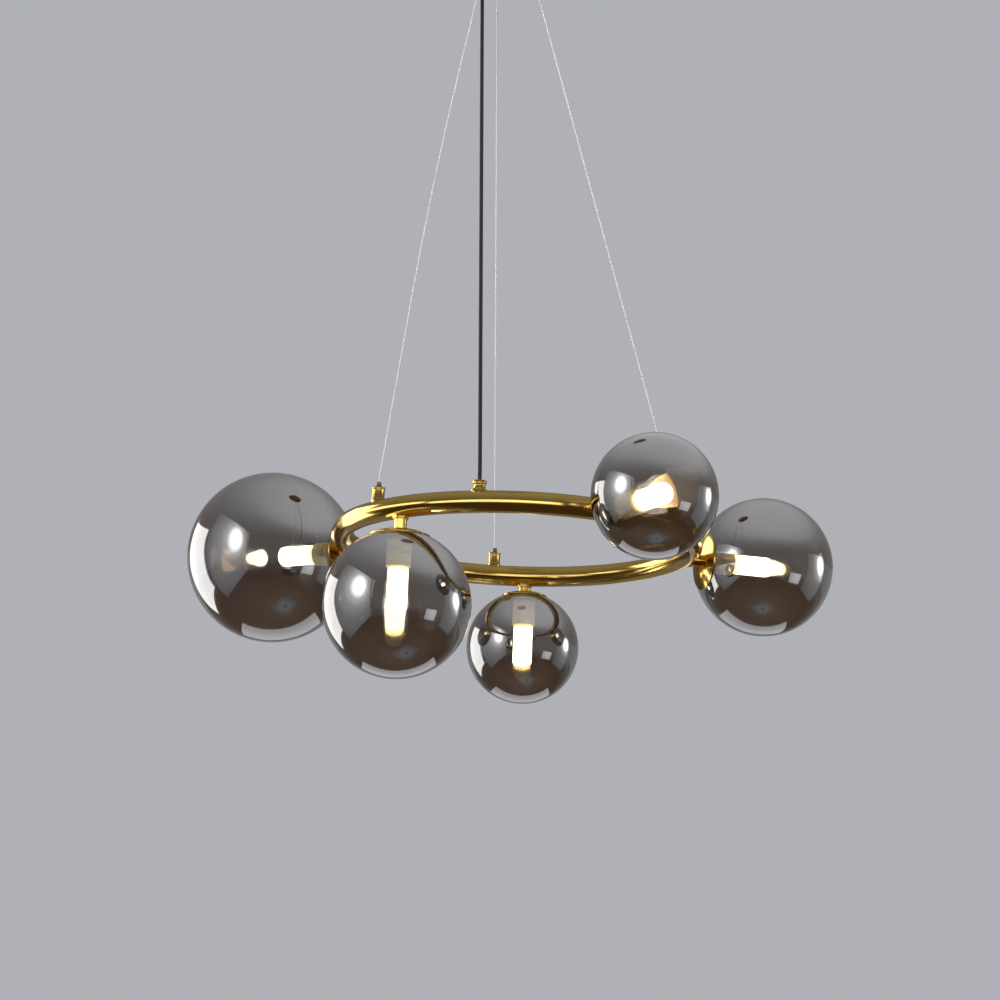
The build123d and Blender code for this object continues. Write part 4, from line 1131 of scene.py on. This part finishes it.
# %% Screens with a bright core
card(
    "left_screen_card",
    [(-0.95, -1.25, -1.33), (-0.95, 0.10, -1.33), (-0.95, 0.10, 0.05), (-0.95, -1.25, 0.05)],
    (-0.95, -0.70, -0.33), (1, 1, 1),
    [
        (0, grey(4.5)), (0.20, grey(4.5)), (0.33, grey(1.5)),
        (0.50, grey(0.8)), (0.75, grey(0.46)), (1.2, grey(0.20)),
    ],
)
card(
    "right_screen_card",
    [(2.0, -0.47, -1.65), (2.0, 0.75, -1.65), (2.0, 0.75, -0.05), (2.0, -0.47, -0.05)],
    (2.0, 0.4, -0.37), (1, 1, 1),
    [(0, grey(4.5)), (0.2, grey(4.5)), (0.36, grey(1.0)), (0.6, grey(0.46)), (1.4, grey(0.24))],
)
card(
    "right_box_card",
    [(1.85, -1.75, -1.85), (2.5, -1.10, -1.85), (2.5, -1.10, -1.15), (1.85, -1.75, -1.15)],
    (2.3, -1.30, -1.3), (1, 1, 1), [(0, grey(1.5)), (0.45, grey(1.1)), (1.0, grey(0.5))],
)
card(
    "brass_strip_card", [(-3, -2.2, -1.20), (3, -2.2, -1.20), (3, -2.2, -0.24), (-3, -2.2, -0.24)],
    (0, -2.2, -0.62), (0, 0, 1),
    [(0, (2.1, 2.05, 1.9)), (0.24, (1.9, 1.85, 1.7)), (0.55, (0.25, 0.22, 0.18))], "brass",
)
WINDOW = [(0, (2.2, 2.15, 2.0)), (0.16, (1.8, 1.75, 1.6)), (0.27, (0.3, 0.27, 0.22))]
for side_name, x in (("left", -1.7), ("right", 1.8)):
    card(
        f"brass_{side_name}_window_card",
        [(x, -1.15, -0.62), (x, 0.45, -0.62), (x, 0.45, -0.12), (x, -1.15, -0.12)],
        (x, 0, -0.36), (0, 0, 1), WINDOW, "brass",
    )
card(
    "brass_back_window_card",
    [(0.22, 2.5, -1.05), (2.2, 2.5, -1.05), (2.2, 2.5, -0.62), (0.22, 2.5, -0.62)],
    (0, 2.5, -0.83), (0, 0, 1), [(0, (1.6, 1.55, 1.4)), (0.22, (0.5, 0.45, 0.35))], "brass",
)


# %% Floor
FLOOR_Z = -2.40
floor_corners = [(-9, -9, FLOOR_Z), (9, -9, FLOOR_Z), (9, 9, FLOOR_Z), (-9, 9, FLOOR_Z)]
floor_mesh = bpy.data.meshes.new("floor")
floor_mesh.from_pydata(floor_corners, [], [(0, 1, 2, 3)])
floor = bpy.data.objects.new("floor", floor_mesh)
bpy.context.scene.collection.objects.link(floor)
floor_finish, floor_tree, floor_shader = start_material("pale_floor")
floor_shader.inputs["Base Color"].default_value = (0.80, 0.81, 0.84, 1)
floor_shader.inputs["Roughness"].default_value = 0.9
floor_mesh.materials.append(floor_finish)


# %% Soft lights
def soft_light(name, bearing, rise, distance, size, power, mirrored=True):
    """A rectangular soft light aimed at the ring; bearing 0 is the camera's side, 90 its left."""
    flat = Vector((-sin(radians(bearing)), -cos(radians(bearing)), 0)) * cos(radians(rise))
    towards = flat + Vector((0, 0, sin(radians(rise))))
    lamp = bpy.data.lights.new(name, "AREA")
    lamp.shape = "RECTANGLE"
    lamp.size, lamp.size_y = size
    lamp.energy = power
    holder = bpy.data.objects.new(name, lamp)
    bpy.context.scene.collection.objects.link(holder)
    holder.location = RING_CENTRE + towards * distance
    holder.rotation_mode = "QUATERNION"
    holder.rotation_quaternion = (-towards).to_track_quat("-Z", "Y")
    holder.visible_camera = False
    holder.visible_glossy = mirrored
    print(name, "luminance", round(power / (pi * size[0] * size[1]), 2))


soft_light("strip_left", 119, 3, 1.7, (1.1, 1.9), 17.0)
soft_light("fill_front_left", 51, 12, 1.7, (0.9, 0.9), 9.0, mirrored=False)
soft_light("strip_right", -107, 5, 1.7, (0.22, 0.7), 3.0, mirrored=False)
soft_light("top_soft", 0, 62, 1.6, (1.6, 0.35), 8.0, mirrored=False)
